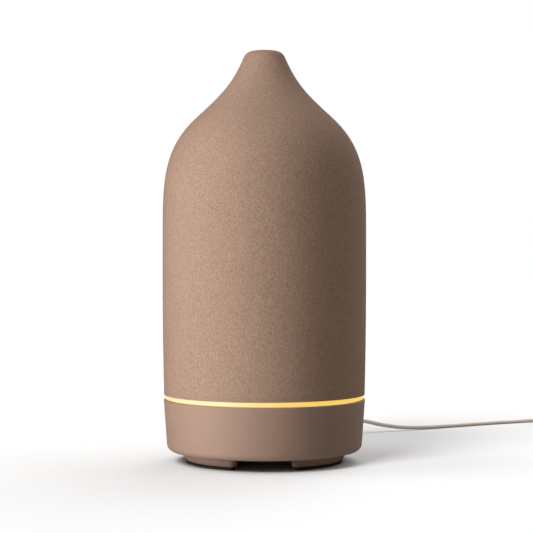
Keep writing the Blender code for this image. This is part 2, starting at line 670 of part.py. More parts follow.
def make_led_board():
    low, high = 20.8 * MM, 22 * MM
    ring = [(40.4 * MM, high), (40.4 * MM, low), (37.9 * MM, low), (37.9 * MM, high)]
    board = turned("led_board", ring, "circuit_board", 32)
    leds = []
    for i in range(LED_COUNT):
        angle = 2 * math.pi * (i + 0.5) / LED_COUNT
        middle = Vector((math.cos(angle), math.sin(angle), 0)) * LED_CIRCLE
        reach = Vector((0.9 * MM, 1.4 * MM, 0))
        start = middle - reach + Vector((0, 0, high - 0.3 * MM))
        end = middle + reach + Vector((0, 0, high + 0.9 * MM))
        leds.append(box("led", start, end, None, (0, 0, angle)))
    return join(board, *leds)


def make_leads():
    fan = [(13.8, -3.8, 11.5), (14.2, -2, 14.5), (12.5, 0, 16.5), (10, 0.6, 16.2), (9, 0.6, 14.1)]
    disc = [(2, 2, 25.2), (2.2, 2, 21.5), (1.8, 1.6, 18), (0.8, 0.7, 15.8), (0.5, 0.6, 14.1)]
    lamps = [(-37.4, 4, 20.2), (-35.5, 3.6, 17), (-28, 2.4, 15.6), (-18, 1.2, 17), (-10, 0.6, 16.6), (-8, 0.6, 14.1)]
    tube("fan_lead", smooth_route(fan, 2 * MM), 0.7 * MM, "red_wire")
    tube("transducer_lead", smooth_route(disc, 2 * MM), 0.7 * MM, "red_wire")
    tube("led_lead", smooth_route(lamps, 3 * MM), 0.7 * MM, "red_wire")


def make_case_screws():
    for i, (x, y) in enumerate(CASE_SCREWS):
        place = (x, y, BASE_BOTTOM + 0.8 * MM)
        screw(f"case_screw_{i + 1}", place, (2.7 * MM, 0.75 * MM), 1.3 * MM, 12 * MM, True)


# Power cord and adapter

def make_plug():
    level, back = (0, 0, SOCKET_HEIGHT), socket_axis(0)
    body = [
        (0, PLUG_FRONT), (4.2 * MM, PLUG_FRONT), (4.6 * MM, PLUG_FRONT + 0.5 * MM), (4.6 * MM, PLUG_SHOULDER),
        (3 * MM, PLUG_SHOULDER + 1.5 * MM), (1.7 * MM, PLUG_END), (0, PLUG_END),
    ]
    plug = turned("dc_plug", body, "cord_jacket", 16, level, back)
    tip = PLUG_FRONT - 9.5 * MM
    sleeve = [
        (2.75 * MM, PLUG_FRONT - GAP), (2.75 * MM, tip), (1.4 * MM, tip), (1.4 * MM, PLUG_FRONT - GAP),
    ]
    barrel = turned("dc_plug_barrel", sleeve, "steel", 16, level, back)
    return plug, barrel


def make_cord():
    cord = tube("power_cord", smooth_route(CORD_ROUTE, 4.4 * MM), CORD_RADIUS, "cord_jacket")
    tail = tube("power_cord_tail", smooth_route(CORD_TAIL_ROUTE, 3 * MM), CORD_RADIUS, "cord_jacket")
    outer = COIL_OUTER + CORD_RADIUS
    inner = COIL_OUTER - COIL_TURNS_ACROSS * COIL_PITCH - CORD_RADIUS
    top = COIL_BOTTOM + 2 * CORD_RADIUS + (COIL_LAYERS - 1) * COIL_PITCH
    edge = 0.8 * MM
    profile = [
        (outer - edge, top), (outer, top - edge), (outer, COIL_BOTTOM + edge), (outer - edge, COIL_BOTTOM),
        (inner + edge, COIL_BOTTOM), (inner, COIL_BOTTOM + edge), (inner, top - edge), (inner + edge, top),
    ]
    coil = turned("cord_coil", profile, "cord_jacket", 24, COIL_CENTRE)
    band, half = 0.4 * MM, 1.5 * MM
    reach = Vector((0, 0, 0))
    reach.x = (outer - inner) / 2 + GAP
    middle = COIL_CENTRE + Vector((-(outer + inner) / 2, 0, 0))
    low = middle - Vector((reach.x + band, half, 0))
    high = middle + Vector((reach.x + band, half, top + GAP + band))
    tie = box("cord_tie", low, high, "black_plastic")
    clear_low = middle - Vector((reach.x, 2 * half, -band))
    clear_high = middle + Vector((reach.x, 2 * half, top + GAP))
    cut(tie, box("tie_opening", clear_low, clear_high, None))
    return cord, tail, coil, tie


def make_adapter():
    """The wall adapter: two shells, two flat mains blades and a short strain relief."""
    low, high = ADAPTER_LOW, ADAPTER_HIGH
    seam = low.x + 8 * MM
    blade_side = box("adapter_back", low, (seam, high.y, high.z), "cord_jacket")
    far_side = box("adapter_front", (seam + GAP, low.y, low.z), high, "cord_jacket")
    for shell in (blade_side, far_side):
        rounded(shell, 2 * MM, 2)
    middle = (low + high) / 2
    relief_start = high.y - 3 * MM
    relief = [
        (0, relief_start), (3.2 * MM, relief_start), (2.8 * MM, high.y + 1 * MM),
        (1.7 * MM, ADAPTER_RELIEF_END), (0, ADAPTER_RELIEF_END),
    ]
    place = (middle.x, 0, middle.z)
    join(far_side, turned("adapter_relief", relief, None, 12, place, socket_axis(0)))
    blades = []
    for i, side in enumerate((1, -1)):
        height = middle.z + side * 6.35 * MM
        start = (low.x - 16 * MM, middle.y - 3.15 * MM, height - 0.75 * MM)
        end = (low.x - GAP, middle.y + 3.15 * MM, height + 0.75 * MM)
        blades.append(box(f"adapter_blade_{i + 1}", start, end, "brass"))
    return [blade_side, far_side, *blades]


def main():
    make_cover()
    make_light_ring()
    make_base_shell()
    make_bottom_cover()
    make_foot_pads()
    make_tank()
    make_inner_lid()
    make_transducer()
    make_fan()
    make_air_duct()
    make_main_board()
    make_board_parts()
    make_power_socket()
    make_button("mist", BUTTON_ANGLE)
    make_button("light", -BUTTON_ANGLE)
    make_led_board()
    make_leads()
    make_case_screws()
    power_lead = pivot("power_lead", (0, PLUG_FRONT, SOCKET_HEIGHT))
    attach(power_lead, *make_plug(), *make_cord(), *make_adapter())


main()
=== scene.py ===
# %% [markdown]
# # An ultrasonic oil diffuser
#
# The object is a bottle-shaped stoneware cover over a water tank, on a round moulded base, with a lit ring
# between the two. Nearly every piece is turned about one vertical axis, so one small Geometry Nodes lathe
# makes most of them, and a second tree sets out what repeats: screws, LEDs and resistors.
#
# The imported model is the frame. Each piece made here rides on one of its bodies and stands for its nodes.

# %% Load the frame
import json
import math

import bmesh
import bpy
from mathutils import Euler, Matrix, Vector

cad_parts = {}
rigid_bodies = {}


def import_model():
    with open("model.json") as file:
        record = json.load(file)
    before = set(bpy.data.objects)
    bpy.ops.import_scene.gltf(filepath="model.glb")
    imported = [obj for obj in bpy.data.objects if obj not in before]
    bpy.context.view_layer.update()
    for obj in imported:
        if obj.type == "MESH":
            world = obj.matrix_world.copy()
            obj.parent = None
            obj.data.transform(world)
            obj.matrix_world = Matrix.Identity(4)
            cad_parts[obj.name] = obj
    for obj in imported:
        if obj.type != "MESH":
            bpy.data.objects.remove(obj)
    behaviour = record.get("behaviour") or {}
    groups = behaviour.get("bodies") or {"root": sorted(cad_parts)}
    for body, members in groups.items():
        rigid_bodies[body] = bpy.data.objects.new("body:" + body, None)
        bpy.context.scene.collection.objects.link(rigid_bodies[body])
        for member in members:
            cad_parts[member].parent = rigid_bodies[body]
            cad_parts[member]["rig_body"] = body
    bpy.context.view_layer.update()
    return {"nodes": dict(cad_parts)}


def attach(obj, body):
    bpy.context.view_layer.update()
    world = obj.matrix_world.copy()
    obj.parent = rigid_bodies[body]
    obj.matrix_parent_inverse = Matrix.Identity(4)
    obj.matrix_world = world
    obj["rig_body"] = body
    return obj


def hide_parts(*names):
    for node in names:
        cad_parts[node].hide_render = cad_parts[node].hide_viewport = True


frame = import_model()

MM = 0.001

# %% [markdown]
# ## Camera
#
# The object is looked at level, from a little under its half height, with a long lens. A long lens from far
# away keeps the sides upright and makes the ellipses of the ring and the base nearly flat.


# %% Camera
def linked(name, data):
    """A new object of this data, in the scene."""
    made = bpy.data.objects.new(name, data)
    bpy.context.scene.collection.objects.link(made)
    return made


camera_data = bpy.data.cameras.new("camera")
camera_data.lens = 100
camera_data.sensor_width = 36
camera_data.clip_start = 0.01
camera = linked("camera", camera_data)
camera.location = (0.9 * MM, -641.4 * MM, 84.2 * MM)
camera.rotation_euler = (math.radians(90), 0, 0)
bpy.context.scene.camera = camera
bpy.context.scene.view_settings.view_transform = "Standard"
print("camera looks along +Y from", [round(c, 3) for c in camera.location])

# %% [markdown]
# ## Colours and nodes
#
# Colours are written as sRGB hex, as a paint chart gives them, and one function turns them to the linear
# values that a shader wants. One function also adds a node with its settings and links, so a finish reads
# as a list.


# %% Helpers for finishes
def colour(code):
    """Linear RGBA from an sRGB hex code such as "c4a28e"."""
    values = [int(code[i : i + 2], 16) / 255 for i in (0, 2, 4)]
    linear = [v / 12.92 if v <= 0.04045 else ((v + 0.055) / 1.055) ** 2.4 for v in values]
    return (*linear, 1)


def add(tree, kind, inputs=None, **settings):
    """Adds a node with its settings. inputs maps sockets, by name or number, to values or to outputs."""
    node = tree.nodes.new(kind)
    for name, value in settings.items():
        setattr(node, name, value)
    for key, value in (inputs or {}).items():
        if isinstance(value, bpy.types.NodeSocket):
            tree.links.new(value, node.inputs[key])
        else:
            node.inputs[key].default_value = value
    return node


def new_finish(name, **sockets):
    """A material of this name; the sockets are set on its Principled shader."""
    made = bpy.data.materials.new(name)
    made.use_nodes = True
    tree = made.node_tree
    shader = tree.nodes["Principled BSDF"]
    for socket, value in sockets.items():
        shader.inputs[socket.replace("_", " ")].default_value = value
    place = add(tree, "ShaderNodeTexCoord").outputs["Object"]
    return made, tree, shader, place


def grains(size_mm):
    """The scale of a noise whose grains are this many mm apart, on coordinates in metres."""
    return 1000 / size_mm


def noise(tree, place, size_mm, detail=2.0, roughness=0.5):
    inputs = {"Vector": place, "Scale": grains(size_mm), "Detail": detail, "Roughness": roughness}
    return add(tree, "ShaderNodeTexNoise", inputs).outputs[0]


def shades(tree, factor, low, high, dark, light):
    """A ramp from the dark colour, where the factor is at low, to the light one at high."""
    ramp = add(tree, "ShaderNodeValToRGB", {0: factor})
    first, last = ramp.color_ramp.elements
    first.position, first.color = low, colour(dark)
    last.position, last.color = high, colour(light)
    return ramp.outputs[0]


def mix_colours(tree, factor, a, b, how="MIX"):
    node = add(tree, "ShaderNodeMix", {0: factor}, data_type="RGBA", blend_type=how)
    for socket, value in ((node.inputs[6], a), (node.inputs[7], b)):
        if isinstance(value, bpy.types.NodeSocket):
            tree.links.new(value, socket)
        else:
            socket.default_value = value
    return node.outputs[2]


def bumps(tree, shader, height, depth_mm, strength=1.0):
    """Raises the surface by the height, which runs from 0 to 1."""
    inputs = {"Height": height, "Distance": depth_mm * MM, "Strength": strength}
    tree.links.new(add(tree, "ShaderNodeBump", inputs).outputs[0], shader.inputs["Normal"])


def vary(tree, factor, low, high):
    """A 0 to 1 factor spread between two values."""
    return add(tree, "ShaderNodeMapRange", {0: factor, 3: low, 4: high}).outputs[0]


# %% [markdown]
# ## Stoneware
#
# The cover is unglazed stoneware: slip-cast clay with fine grog, fired and left bare. It scatters light
# evenly, with no gloss. Close up it is sandy: grains under a millimetre across, slightly lighter and darker
# than their ground, and a faint slow drift of tone from the kiln. The grog also stands less than a tenth of
# one proud.


# %% Stoneware
def unglazed_stoneware():
    made, tree, shader, place = new_finish("unglazed_stoneware", IOR=1.5, Specular_IOR_Level=0.25)
    sand = noise(tree, place, 0.75, 2, 0.6)
    ground = shades(tree, sand, 0.32, 0.68, "927868", "af907b")
    drift = shades(tree, noise(tree, place, 28, 2), 0.35, 0.65, "fbfbfa", "ffffff")
    tree.links.new(mix_colours(tree, 1.0, ground, drift, "MULTIPLY"), shader.inputs["Base Color"])
    tree.links.new(vary(tree, sand, 0.8, 0.95), shader.inputs["Roughness"])
    bumps(tree, shader, sand, 0.07, 1.0)
    return made


STONEWARE = unglazed_stoneware()
print("finish:", STONEWARE.name)

# %% [markdown]
# ## Moulded plastics
#
# The base is ABS, moulded in a spark-eroded tool: one even colour with a very fine matt grain, and only a
# soft highlight. The tank and lid are polypropylene, milky where they are thin. The cord is soft PVC.


# %% Moulded plastics
def moulded_plastic(name, dark, light, roughness, grain_mm=0.35, depth_mm=0.008, **sockets):
    """A plastic with the grain of its mould: the two colours are close, and the gloss varies a little."""
    made, tree, shader, place = new_finish(name, IOR=1.49, **sockets)
    grain = noise(tree, place, grain_mm, 2, 0.55)
    cloud = noise(tree, place, 18, 2, 0.5)
    tree.links.new(shades(tree, cloud, 0.3, 0.7, dark, light), shader.inputs["Base Color"])
    tree.links.new(vary(tree, grain, roughness - 0.05, roughness + 0.05), shader.inputs["Roughness"])
    bumps(tree, shader, grain, depth_mm, 0.6)
    return made


MATT_ABS = moulded_plastic("matt_brown_abs", "9c8070", "a18473", 0.62, 1.0, 0.07, Specular_IOR_Level=0.3)
MILKY_PP = moulded_plastic("milky_polypropylene", "e9e7e1", "efeee9", 0.32, 0.6, 0.004,
                           Subsurface_Weight=0.25, Subsurface_Scale=0.003)
BLACK_PLASTIC = moulded_plastic("black_glass_filled_nylon", "151516", "1b1b1c", 0.48)
PALE_PVC = moulded_plastic("pale_pvc_jacket", "ded5ce", "e6ded8", 0.5, 0.8, 0.006)
RED_PVC = moulded_plastic("red_pvc_jacket", "a51512", "b41a16", 0.4, 0.8, 0.004)
RUBBER = moulded_plastic("black_nitrile_rubber", "0e0e0e", "171616", 0.8, 0.5, 0.02)
SILICONE = moulded_plastic("clear_silicone", "c9c9c2", "d6d6d0", 0.45, 0.9, 0.004, Subsurface_Weight=0.2,
                           Subsurface_Scale=0.002)
plastics = (MATT_ABS, MILKY_PP, BLACK_PLASTIC, PALE_PVC, RED_PVC, RUBBER, SILICONE)
print("plastics:", [m.name for m in plastics])

# %% [markdown]
# ## The lit ring
#
# The ring is a light guide of frosted acrylic. LEDs below it fill it with warm light, so it glows by itself
# and also takes the room's light on its frosted skin: whitish where the room is bright, deep amber where it
# is dark.


# %% Frosted acrylic
def lit_acrylic():
    made, tree, shader, place = new_finish("lit_frosted_acrylic", IOR=1.49, Emission_Strength=0.88)
    frost = noise(tree, place, 0.4, 2)
    tree.links.new(shades(tree, frost, 0.2, 0.8, "828ba8", "8891ae"), shader.inputs["Base Color"])
    shader.inputs["Emission Color"].default_value = colour("ffd148")
    tree.links.new(vary(tree, frost, 0.4, 0.55), shader.inputs["Roughness"])
    bumps(tree, shader, frost, 0.01, 0.5)
    return made


LIT_ACRYLIC = lit_acrylic()
print("finish:", LIT_ACRYLIC.name)

# %% [markdown]
# ## Metals, wire and board
#
# Plated steel screws carry fine turning marks. The winding is enamelled copper, the fins are extruded
# aluminium, and the boards are glass fibre under a green solder mask, with tracks that show as paler lines.


# %% Metals and board
def worked_metal(name, dark, light, roughness, lines_mm, stretch):
    """A metal with tool marks: noise stretched along one axis, which varies the gloss and the surface."""
    made, tree, shader, place = new_finish(name, Metallic=1.0)
    along = add(tree, "ShaderNodeMapping", {"Vector": place, "Scale": stretch}).outputs[0]
    marks = noise(tree, along, lines_mm, 3, 0.6)
    tree.links.new(shades(tree, marks, 0.25, 0.75, dark, light), shader.inputs["Base Color"])
    tree.links.new(vary(tree, marks, roughness - 0.07, roughness + 0.1), shader.inputs["Roughness"])
    bumps(tree, shader, marks, 0.006, 0.5)
    return made


def solder_masked_board():
    made, tree, shader, place = new_finish("solder_masked_glass_fibre", IOR=1.52, Roughness=0.35,
                                           Coat_Weight=0.3)
    cells = add(tree, "ShaderNodeTexVoronoi", {"Vector": place, "Scale": grains(3.2)},
                feature="DISTANCE_TO_EDGE", distance="MANHATTAN")
    tracks = shades(tree, cells.outputs[0], 0.04, 0.07, "3f8f55", "14532c")
    weave = noise(tree, place, 0.5, 2)
    ground = mix_colours(tree, 0.15, tracks, shades(tree, weave, 0.3, 0.7, "0f3f22", "2b7a45"))
    tree.links.new(ground, shader.inputs["Base Color"])
    bumps(tree, shader, cells.outputs[0], 0.02, 0.4)
    return made


PLATED_STEEL = worked_metal("plated_steel", "b4b4b6", "cfcfd0", 0.28, 0.6, (1, 1, 0.2))
BRASS = worked_metal("stamped_brass", "c9a45c", "d8b670", 0.3, 0.5, (0.15, 1, 1))
COPPER_WINDING = worked_metal("enamelled_copper_winding", "a85a30", "c9743f", 0.32, 0.3, (0.1, 0.1, 1))
ALUMINIUM = worked_metal("extruded_aluminium", "bfc0c2", "d2d3d5", 0.38, 0.35, (0.1, 1, 1))
BOARD = solder_masked_board()
print("metals and board:", [m.name for m in (PLATED_STEEL, BRASS, COPPER_WINDING, ALUMINIUM, BOARD)])

# %% [markdown]
# ## Outlines
#
# A turned piece is drawn as half of its section, in millimetres: radius, height, and how far the corner
# there is rounded. Real edges are never sharp, and it is the rounding that catches the light.


# %% Helpers for outlines
def bezier(p0, p1, p2, p3, count):
    """count points along a cubic curve, without its last one."""
    points = []
    for i in range(count):
        t = i / count
        s = 1 - t
        weights = (s**3, 3 * s * s * t, 3 * s * t * t, t**3)
        points.append(tuple(sum(w * p[k] for w, p in zip(weights, (p0, p1, p2, p3))) for k in range(2)))
    return points


def arc(centre, radius, start, end, count):
    """Points on an arc, ends included; angles in degrees."""
    angles = [math.radians(start + (end - start) * i / (count - 1)) for i in range(count)]
    return [(centre[0] + radius * math.cos(a), centre[1] + radius * math.sin(a)) for a in angles]


def offset_inwards(points, distance):
    """The same line moved towards the axis, at right angles to itself."""
    moved = []
    for i, (r, z) in enumerate(points):
        before, after = points[max(i - 1, 0)], points[min(i + 1, len(points) - 1)]
        along = Vector((after[0] - before[0], after[1] - before[1])).normalized()
        moved.append((r - along.y * distance, z + along.x * distance))
    return moved


def rounded(corners, steps=5):
    """An outline through corners given as (radius, height) or (radius, height, rounding)."""
    points = []
    count = len(corners)
    for i, corner in enumerate(corners):
        here = Vector(corner[:2])
        rounding = corner[2] if len(corner) > 2 else 0
        to_before = (Vector(corners[i - 1][:2]) - here).normalized()
        to_after = (Vector(corners[(i + 1) % count][:2]) - here).normalized()
        half = to_before.angle(to_after) / 2
        if rounding == 0 or half > math.radians(89):
            points.append(tuple(here))
            continue
        reach = rounding / math.tan(half)
        centre = here + (to_before + to_after).normalized() * (rounding / math.sin(half))
        start, end = here + to_before * reach - centre, here + to_after * reach - centre
        sweep = start.angle_signed(end)
        for k in range(steps + 1):
            turn = Matrix.Rotation(-sweep * k / steps, 2)
            points.append(tuple(centre + turn @ start))
    return points


# %% [markdown]
# ## A lathe in Geometry Nodes
#
# Spinning a section could be done with a Screw modifier or by hand in code. A node tree keeps the rule in
# sight: a grid has one row for each point of the section and one column for each step round the axis, and
# each of its points takes the radius and height of its row and the angle of its column. Merging by distance
# then closes the seam and the poles.


# %% Build the lathe
def node_tree(name, sockets):
    """An empty Geometry Nodes tree with these named inputs besides its geometry."""
    tree = bpy.data.node_groups.new(name, "GeometryNodeTree")
    tree.interface.new_socket("Geometry", in_out="INPUT", socket_type="NodeSocketGeometry")
    for label, kind in sockets:
        tree.interface.new_socket(label, in_out="INPUT", socket_type=kind)
    tree.interface.new_socket("Geometry", in_out="OUTPUT", socket_type="NodeSocketGeometry")
    return tree, add(tree, "NodeGroupInput"), add(tree, "NodeGroupOutput")


def end_tree(tree, given, result, geometry):
    """Ends a tree with real geometry in place of instances, and the finish on it."""
    plain = add(tree, "GeometryNodeRealizeInstances", {"Geometry": geometry}).outputs[0]
    inputs = {"Geometry": plain, "Material": given.outputs["Finish"]}
    tree.links.new(add(tree, "GeometryNodeSetMaterial", inputs).outputs[0], result.inputs[0])
    return tree


def maths(tree, how, a, b=0.0):
    return add(tree, "ShaderNodeMath", {0: a, 1: b}, operation=how).outputs[0]


def build_lathe():
    tree, given, result = node_tree("lathe", [("Steps", "NodeSocketInt"), ("Finish", "NodeSocketMaterial")])
    section = given.outputs["Geometry"]
    rows = add(tree, "GeometryNodeAttributeDomainSize", {0: section}).outputs["Point Count"]
    columns = maths(tree, "ADD", given.outputs["Steps"], 1)
    inputs = {"Size X": 1.0, "Size Y": 1.0, "Vertices X": rows, "Vertices Y": columns}
    grid = add(tree, "GeometryNodeMeshGrid", inputs).outputs["Mesh"]
    place = add(tree, "GeometryNodeInputPosition").outputs[0]
    spot = add(tree, "ShaderNodeSeparateXYZ", {0: place})
    share = maths(tree, "ADD", spot.outputs[0], 0.5)
    nearest = maths(tree, "ROUND", maths(tree, "MULTIPLY", share, maths(tree, "SUBTRACT", rows, 1)))
    sample = add(tree, "GeometryNodeSampleIndex", {"Geometry": section, "Index": nearest},
                 data_type="FLOAT_VECTOR", domain="POINT")
    value_socket = next(s for s in sample.inputs if s.name == "Value" and s.enabled)
    tree.links.new(place, value_socket)
    taken = next(s for s in sample.outputs if s.enabled)
    found = add(tree, "ShaderNodeSeparateXYZ", {0: taken})
    angle = maths(tree, "MULTIPLY", maths(tree, "ADD", spot.outputs[1], 0.5), 2 * math.pi)
    x = maths(tree, "MULTIPLY", found.outputs[0], maths(tree, "COSINE", angle))
    y = maths(tree, "MULTIPLY", found.outputs[0], maths(tree, "SINE", angle))
    spun = add(tree, "ShaderNodeCombineXYZ", {0: x, 1: y, 2: found.outputs[2]}).outputs[0]
    moved = add(tree, "GeometryNodeSetPosition", {"Geometry": grid, "Position": spun}).outputs[0]
    closed = add(tree, "GeometryNodeMergeByDistance", {"Geometry": moved, "Distance": 1e-6}).outputs[0]
    return end_tree(tree, given, result, closed)


LATHE = build_lathe()
print("lathe nodes:", len(LATHE.nodes))


# %% Run a tree and finish its piece
def plain_mesh(helper):
    """An object's evaluated shape as a plain mesh. The object is used up."""
    graph = bpy.context.evaluated_depsgraph_get()
    made = bpy.data.meshes.new_from_object(helper.evaluated_get(graph), depsgraph=graph)
    bpy.data.objects.remove(helper)
    return made


def run_tree(tree, mesh, **values):
    """The plain mesh that a tree makes from a mesh, with its named inputs set."""
    helper = linked("helper", mesh)
    step = helper.modifiers.new("nodes", "NODES")
    step.node_group = tree
    for item in tree.interface.items_tree:
        if item.item_type == "SOCKET" and item.in_out == "INPUT" and item.name in values:
            step[item.identifier] = values[item.name]
    return plain_mesh(helper)


def cleaned(mesh, smooth=35):
    """Merges doubles, turns faces outwards and shades smooth, but for edges sharper than smooth degrees."""
    work = bmesh.new()
    work.from_mesh(mesh)
    bmesh.ops.remove_doubles(work, verts=work.verts, dist=1e-6)
    bmesh.ops.dissolve_degenerate(work, edges=work.edges, dist=1e-7)
    bmesh.ops.delete(work, geom=[edge for edge in work.edges if not edge.link_faces], context="EDGES")
    bmesh.ops.recalc_face_normals(work, faces=work.faces)
    work.to_mesh(mesh)
    work.free()
    mesh.shade_smooth()
    mesh.set_sharp_from_angle(angle=math.radians(smooth))
    return mesh


def as_piece(name, mesh, finish, body, stands_for=(), smooth=35):
    """A finished piece at the origin that rides on a body and stands for some of the frame's nodes."""
    cleaned(mesh, smooth)
    mesh.name = name
    mesh.materials.clear()
    mesh.materials.append(finish)
    piece = linked(name, mesh)
    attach(piece, body)
    if stands_for:
        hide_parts(*stands_for)
    return piece


def spun(section, steps=128, place=(0, 0, 0), turn=(0, 0, 0)):
    """A section in mm spun about Z, then turned and put in place (in metres)."""
    points = [(r * MM, 0, z * MM) for r, z in [*section, section[0]]]
    outline = bpy.data.meshes.new("section")
    outline.from_pydata(points, [], [])
    made = run_tree(LATHE, outline, Steps=steps, Finish=STONEWARE)
    made.transform(Matrix.Translation(Vector(place)) @ Euler(turn).to_matrix().to_4x4())
    return made


def joined(*meshes):
    """Several meshes as one."""
    work = bmesh.new()
    for mesh in meshes:
        work.from_mesh(mesh)
    made = bpy.data.meshes.new("joined")
    work.to_mesh(made)
    work.free()
    return made


def cut_away(mesh, cutters, operation="DIFFERENCE"):
    """The mesh less its cutters, as a plain mesh."""
    body = linked("body", cleaned(mesh))
    helpers = [linked("cutter", cleaned(cutter)) for cutter in cutters]
    for helper in helpers:
        step = body.modifiers.new("cut", "BOOLEAN")
        step.operation, step.solver, step.object = operation, "EXACT", helper
    made = plain_mesh(body)
    for helper in helpers:
        bpy.data.objects.remove(helper)
    return made


# %% [markdown]
# ## The power cord
#
# The cord is 1.5 m of soft round lead, 2.2 mm thick. It leaves the plug behind the base, sinks to the table
# in a long easy curve and runs off to the right. The rest is put away as a small tied coil beside the wall
# adapter. One spline takes the whole way: the same route as in the frame, fifteen turns of coil in four
# layers that wind in and out by turns, and the short tail into the adapter.


# %% Cord
CORD_THICKNESS = 2.2 * MM
CORD_ROUTE = [
    (0, 68.3, 15.5), (0.6, 75, 15.1), (3.5, 83, 14.0), (10, 91.5, 12.3), (19.5, 98, 10.4), (30, 102.5, 8.8),
    (40, 106, 7.4), (50.5, 109.5, 5.9), (60, 113.5, 3.6), (70, 118, 1.9), (80, 122.8, 1.25),
    (92, 129.5, 1.1), (105, 137.5, 1.1), (118, 145.5, 1.1), (131, 152.5, 1.1), (142, 157.3, 1.25),
    (152, 160.2, 1.5), (160, 161.2, 1.7),
]  # mm
CORD_TAIL = [(182.6, 129.5, 10.2), (181, 122, 13.2), (180.2, 116, 15.5), (180, 112.3, 16), (180, 90, 16)]
COIL_CENTRE = Vector((170, 144))
COIL_OUTER, COIL_INNER = 17.5, 9.0  # to the middle of the outermost and innermost turns, mm
COIL_LOWEST, COIL_LAYERS, LAYER_RISE = 1.8, 4, 2.25
COIL_TURNS = 15.34
TURN_POINTS = 20


def coil_points():
    """The coil's middle line, clockwise from the north, in and out layer by layer."""
    points = []
    steps = round(COIL_TURNS * TURN_POINTS)
    per_layer = steps / COIL_LAYERS
    for i in range(steps + 1):
        layer = min(int(i / per_layer), COIL_LAYERS - 1)
        across = i / per_layer - layer
        inwards = across if layer % 2 == 0 else 1 - across
        radius = COIL_OUTER + (COIL_INNER - COIL_OUTER) * inwards
        rise = min(1, across * per_layer / (0.4 * TURN_POINTS)) if layer else 1
        height = COIL_LOWEST + LAYER_RISE * (layer - 1 + (rise * rise * (3 - 2 * rise)) if layer else 0)
        angle = math.radians(90) - 2 * math.pi * i / TURN_POINTS
        spot = COIL_CENTRE + radius * Vector((math.cos(angle), math.sin(angle)))
        points.append((spot.x, spot.y, height))
    return points


def round_line(name, points, radius, bevel_steps, steps):
    """A curve through points in mm that has this radius, in metres."""
    data = bpy.data.curves.new(name, "CURVE")
    data.dimensions = "3D"
    data.bevel_depth, data.bevel_resolution, data.resolution_u = radius, bevel_steps, steps
    data.use_fill_caps = True
    spline = data.splines.new("BEZIER")
    spline.bezier_points.add(len(points) - 1)
    for spot, point in zip(spline.bezier_points, points):
        spot.co = Vector(point) * MM
        spot.handle_left_type = spot.handle_right_type = "AUTO"
    return data


def make_cord():
    points = CORD_ROUTE + coil_points() + CORD_TAIL
    data = round_line("power_cord_line", points, CORD_THICKNESS / 2, 3, 4)
    data.materials.append(PALE_PVC)
    cord = linked("power_lead_cord", data)
    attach(cord, "power_lead")
    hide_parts("power_cord", "power_cord_tail", "cord_coil")
    return cord, [Vector(p) * MM for p in points]


cord, cord_points = make_cord()
cord_length = sum((b - a).length for a, b in zip(cord_points, cord_points[1:]))
print("cord points:", len(cord_points), "length in m:", round(cord_length, 3))

# %% [markdown]
# ## The stoneware cover
#
# The cover is what is seen first: straight sides that lean in a little towards the foot, a full shoulder, a
# hollow neck and a rounded lip round the mist hole. Three cubic curves that meet with one direction give
# that line without a kink. The lathe spins it, and the same line set inwards makes the hollow inside.


# %% Cover
BODY_RADIUS, COVER_FOOT, COVER_TOP = 44.0, 29.45, 177.3
COVER_WALL, MIST_HOLE = 3.6, 4.5


def cover_section():
    widest, waist = (BODY_RADIUS, 92.3), (29.2, 148.6)
    side = bezier((43.36, COVER_FOOT), (43.87, 51), (BODY_RADIUS, 61.6), widest, 14)
    shoulder = bezier(widest, (BODY_RADIUS, 119.7), (44.75, 134.3), waist, 30)
    neck = bezier(waist, (19.3, 157.75), (14.0, 162.7), (8.93, 174.8), 20)
    outside = side + shoulder + neck
    lip = arc((5.06, COVER_TOP - 4.2), 4.2, 24, 90, 12) + arc((5.0, COVER_TOP - 0.5), 0.5, 100, 180, 5)
    inside = [p for p in offset_inwards(outside, COVER_WALL) if p[0] > MIST_HOLE + 1.5]
    throat = [(MIST_HOLE, inside[-1][1] + 4.0), (MIST_HOLE + 0.25, inside[-1][1] + 2.6)]
    edge = outside[0][0]
    lowest = COVER_FOOT - 0.25
    drip = [(edge - 0.45, COVER_FOOT), (edge - 0.45, lowest), *arc((edge - 0.12, lowest), 0.12, -90, -4, 4)]
    foot_inner = arc((inside[0][0] + 0.5, COVER_FOOT + 0.5), 0.5, 188, 270, 5)
    return drip + outside[1:] + lip + throat + inside[:0:-1] + foot_inner


cover = as_piece("stoneware_cover", spun(cover_section(), 224), STONEWARE, "cover",
                 ["stone_cover"], smooth=50)
print("cover:", len(cover.data.polygons), "faces,", [round(d / MM, 1) for d in cover.dimensions], "mm")

# %% [markdown]
# ## Light ring and base
#
# The ring stands a little back from the cover and the base, so a thin dark line shows under it. The base
# leans in towards its foot, with a rounded lower edge. Its shell is spun, then cut for the power socket and
# the two buttons at the back.


# %% Ring and base
RING_TOP, RING_BOTTOM, RING_RADIUS = 29.2, 27.3, 42.7
ring_section = rounded([
    (RING_RADIUS, RING_TOP, 0.22), (39.1, RING_TOP, 0.3), (39.1, 27.7), (38.7, RING_BOTTOM),
    (38.7, 23.5, 0.3), (40.7, 23.5, 0.3), (40.7, RING_BOTTOM), (RING_RADIUS, RING_BOTTOM, 0.22),
])
ring = as_piece("lit_ring", spun(ring_section, 192), LIT_ACRYLIC, "base", ["light_ring"])

SOCKET_HEIGHT, BUTTON_ANGLE = 15.5, 30


def lay_level(angle):
    """The turn that lays local Z level, pointing outwards at this many degrees to the left of the back."""
    return (math.radians(-90), 0, math.radians(angle))


def level_cylinder(radius, start, end, angle, steps=48, edge=0.0):
    section = rounded([(0, start), (radius, start), (radius, end, edge), (0, end)])
    return spun(section, steps, (0, 0, SOCKET_HEIGHT * MM), lay_level(angle))


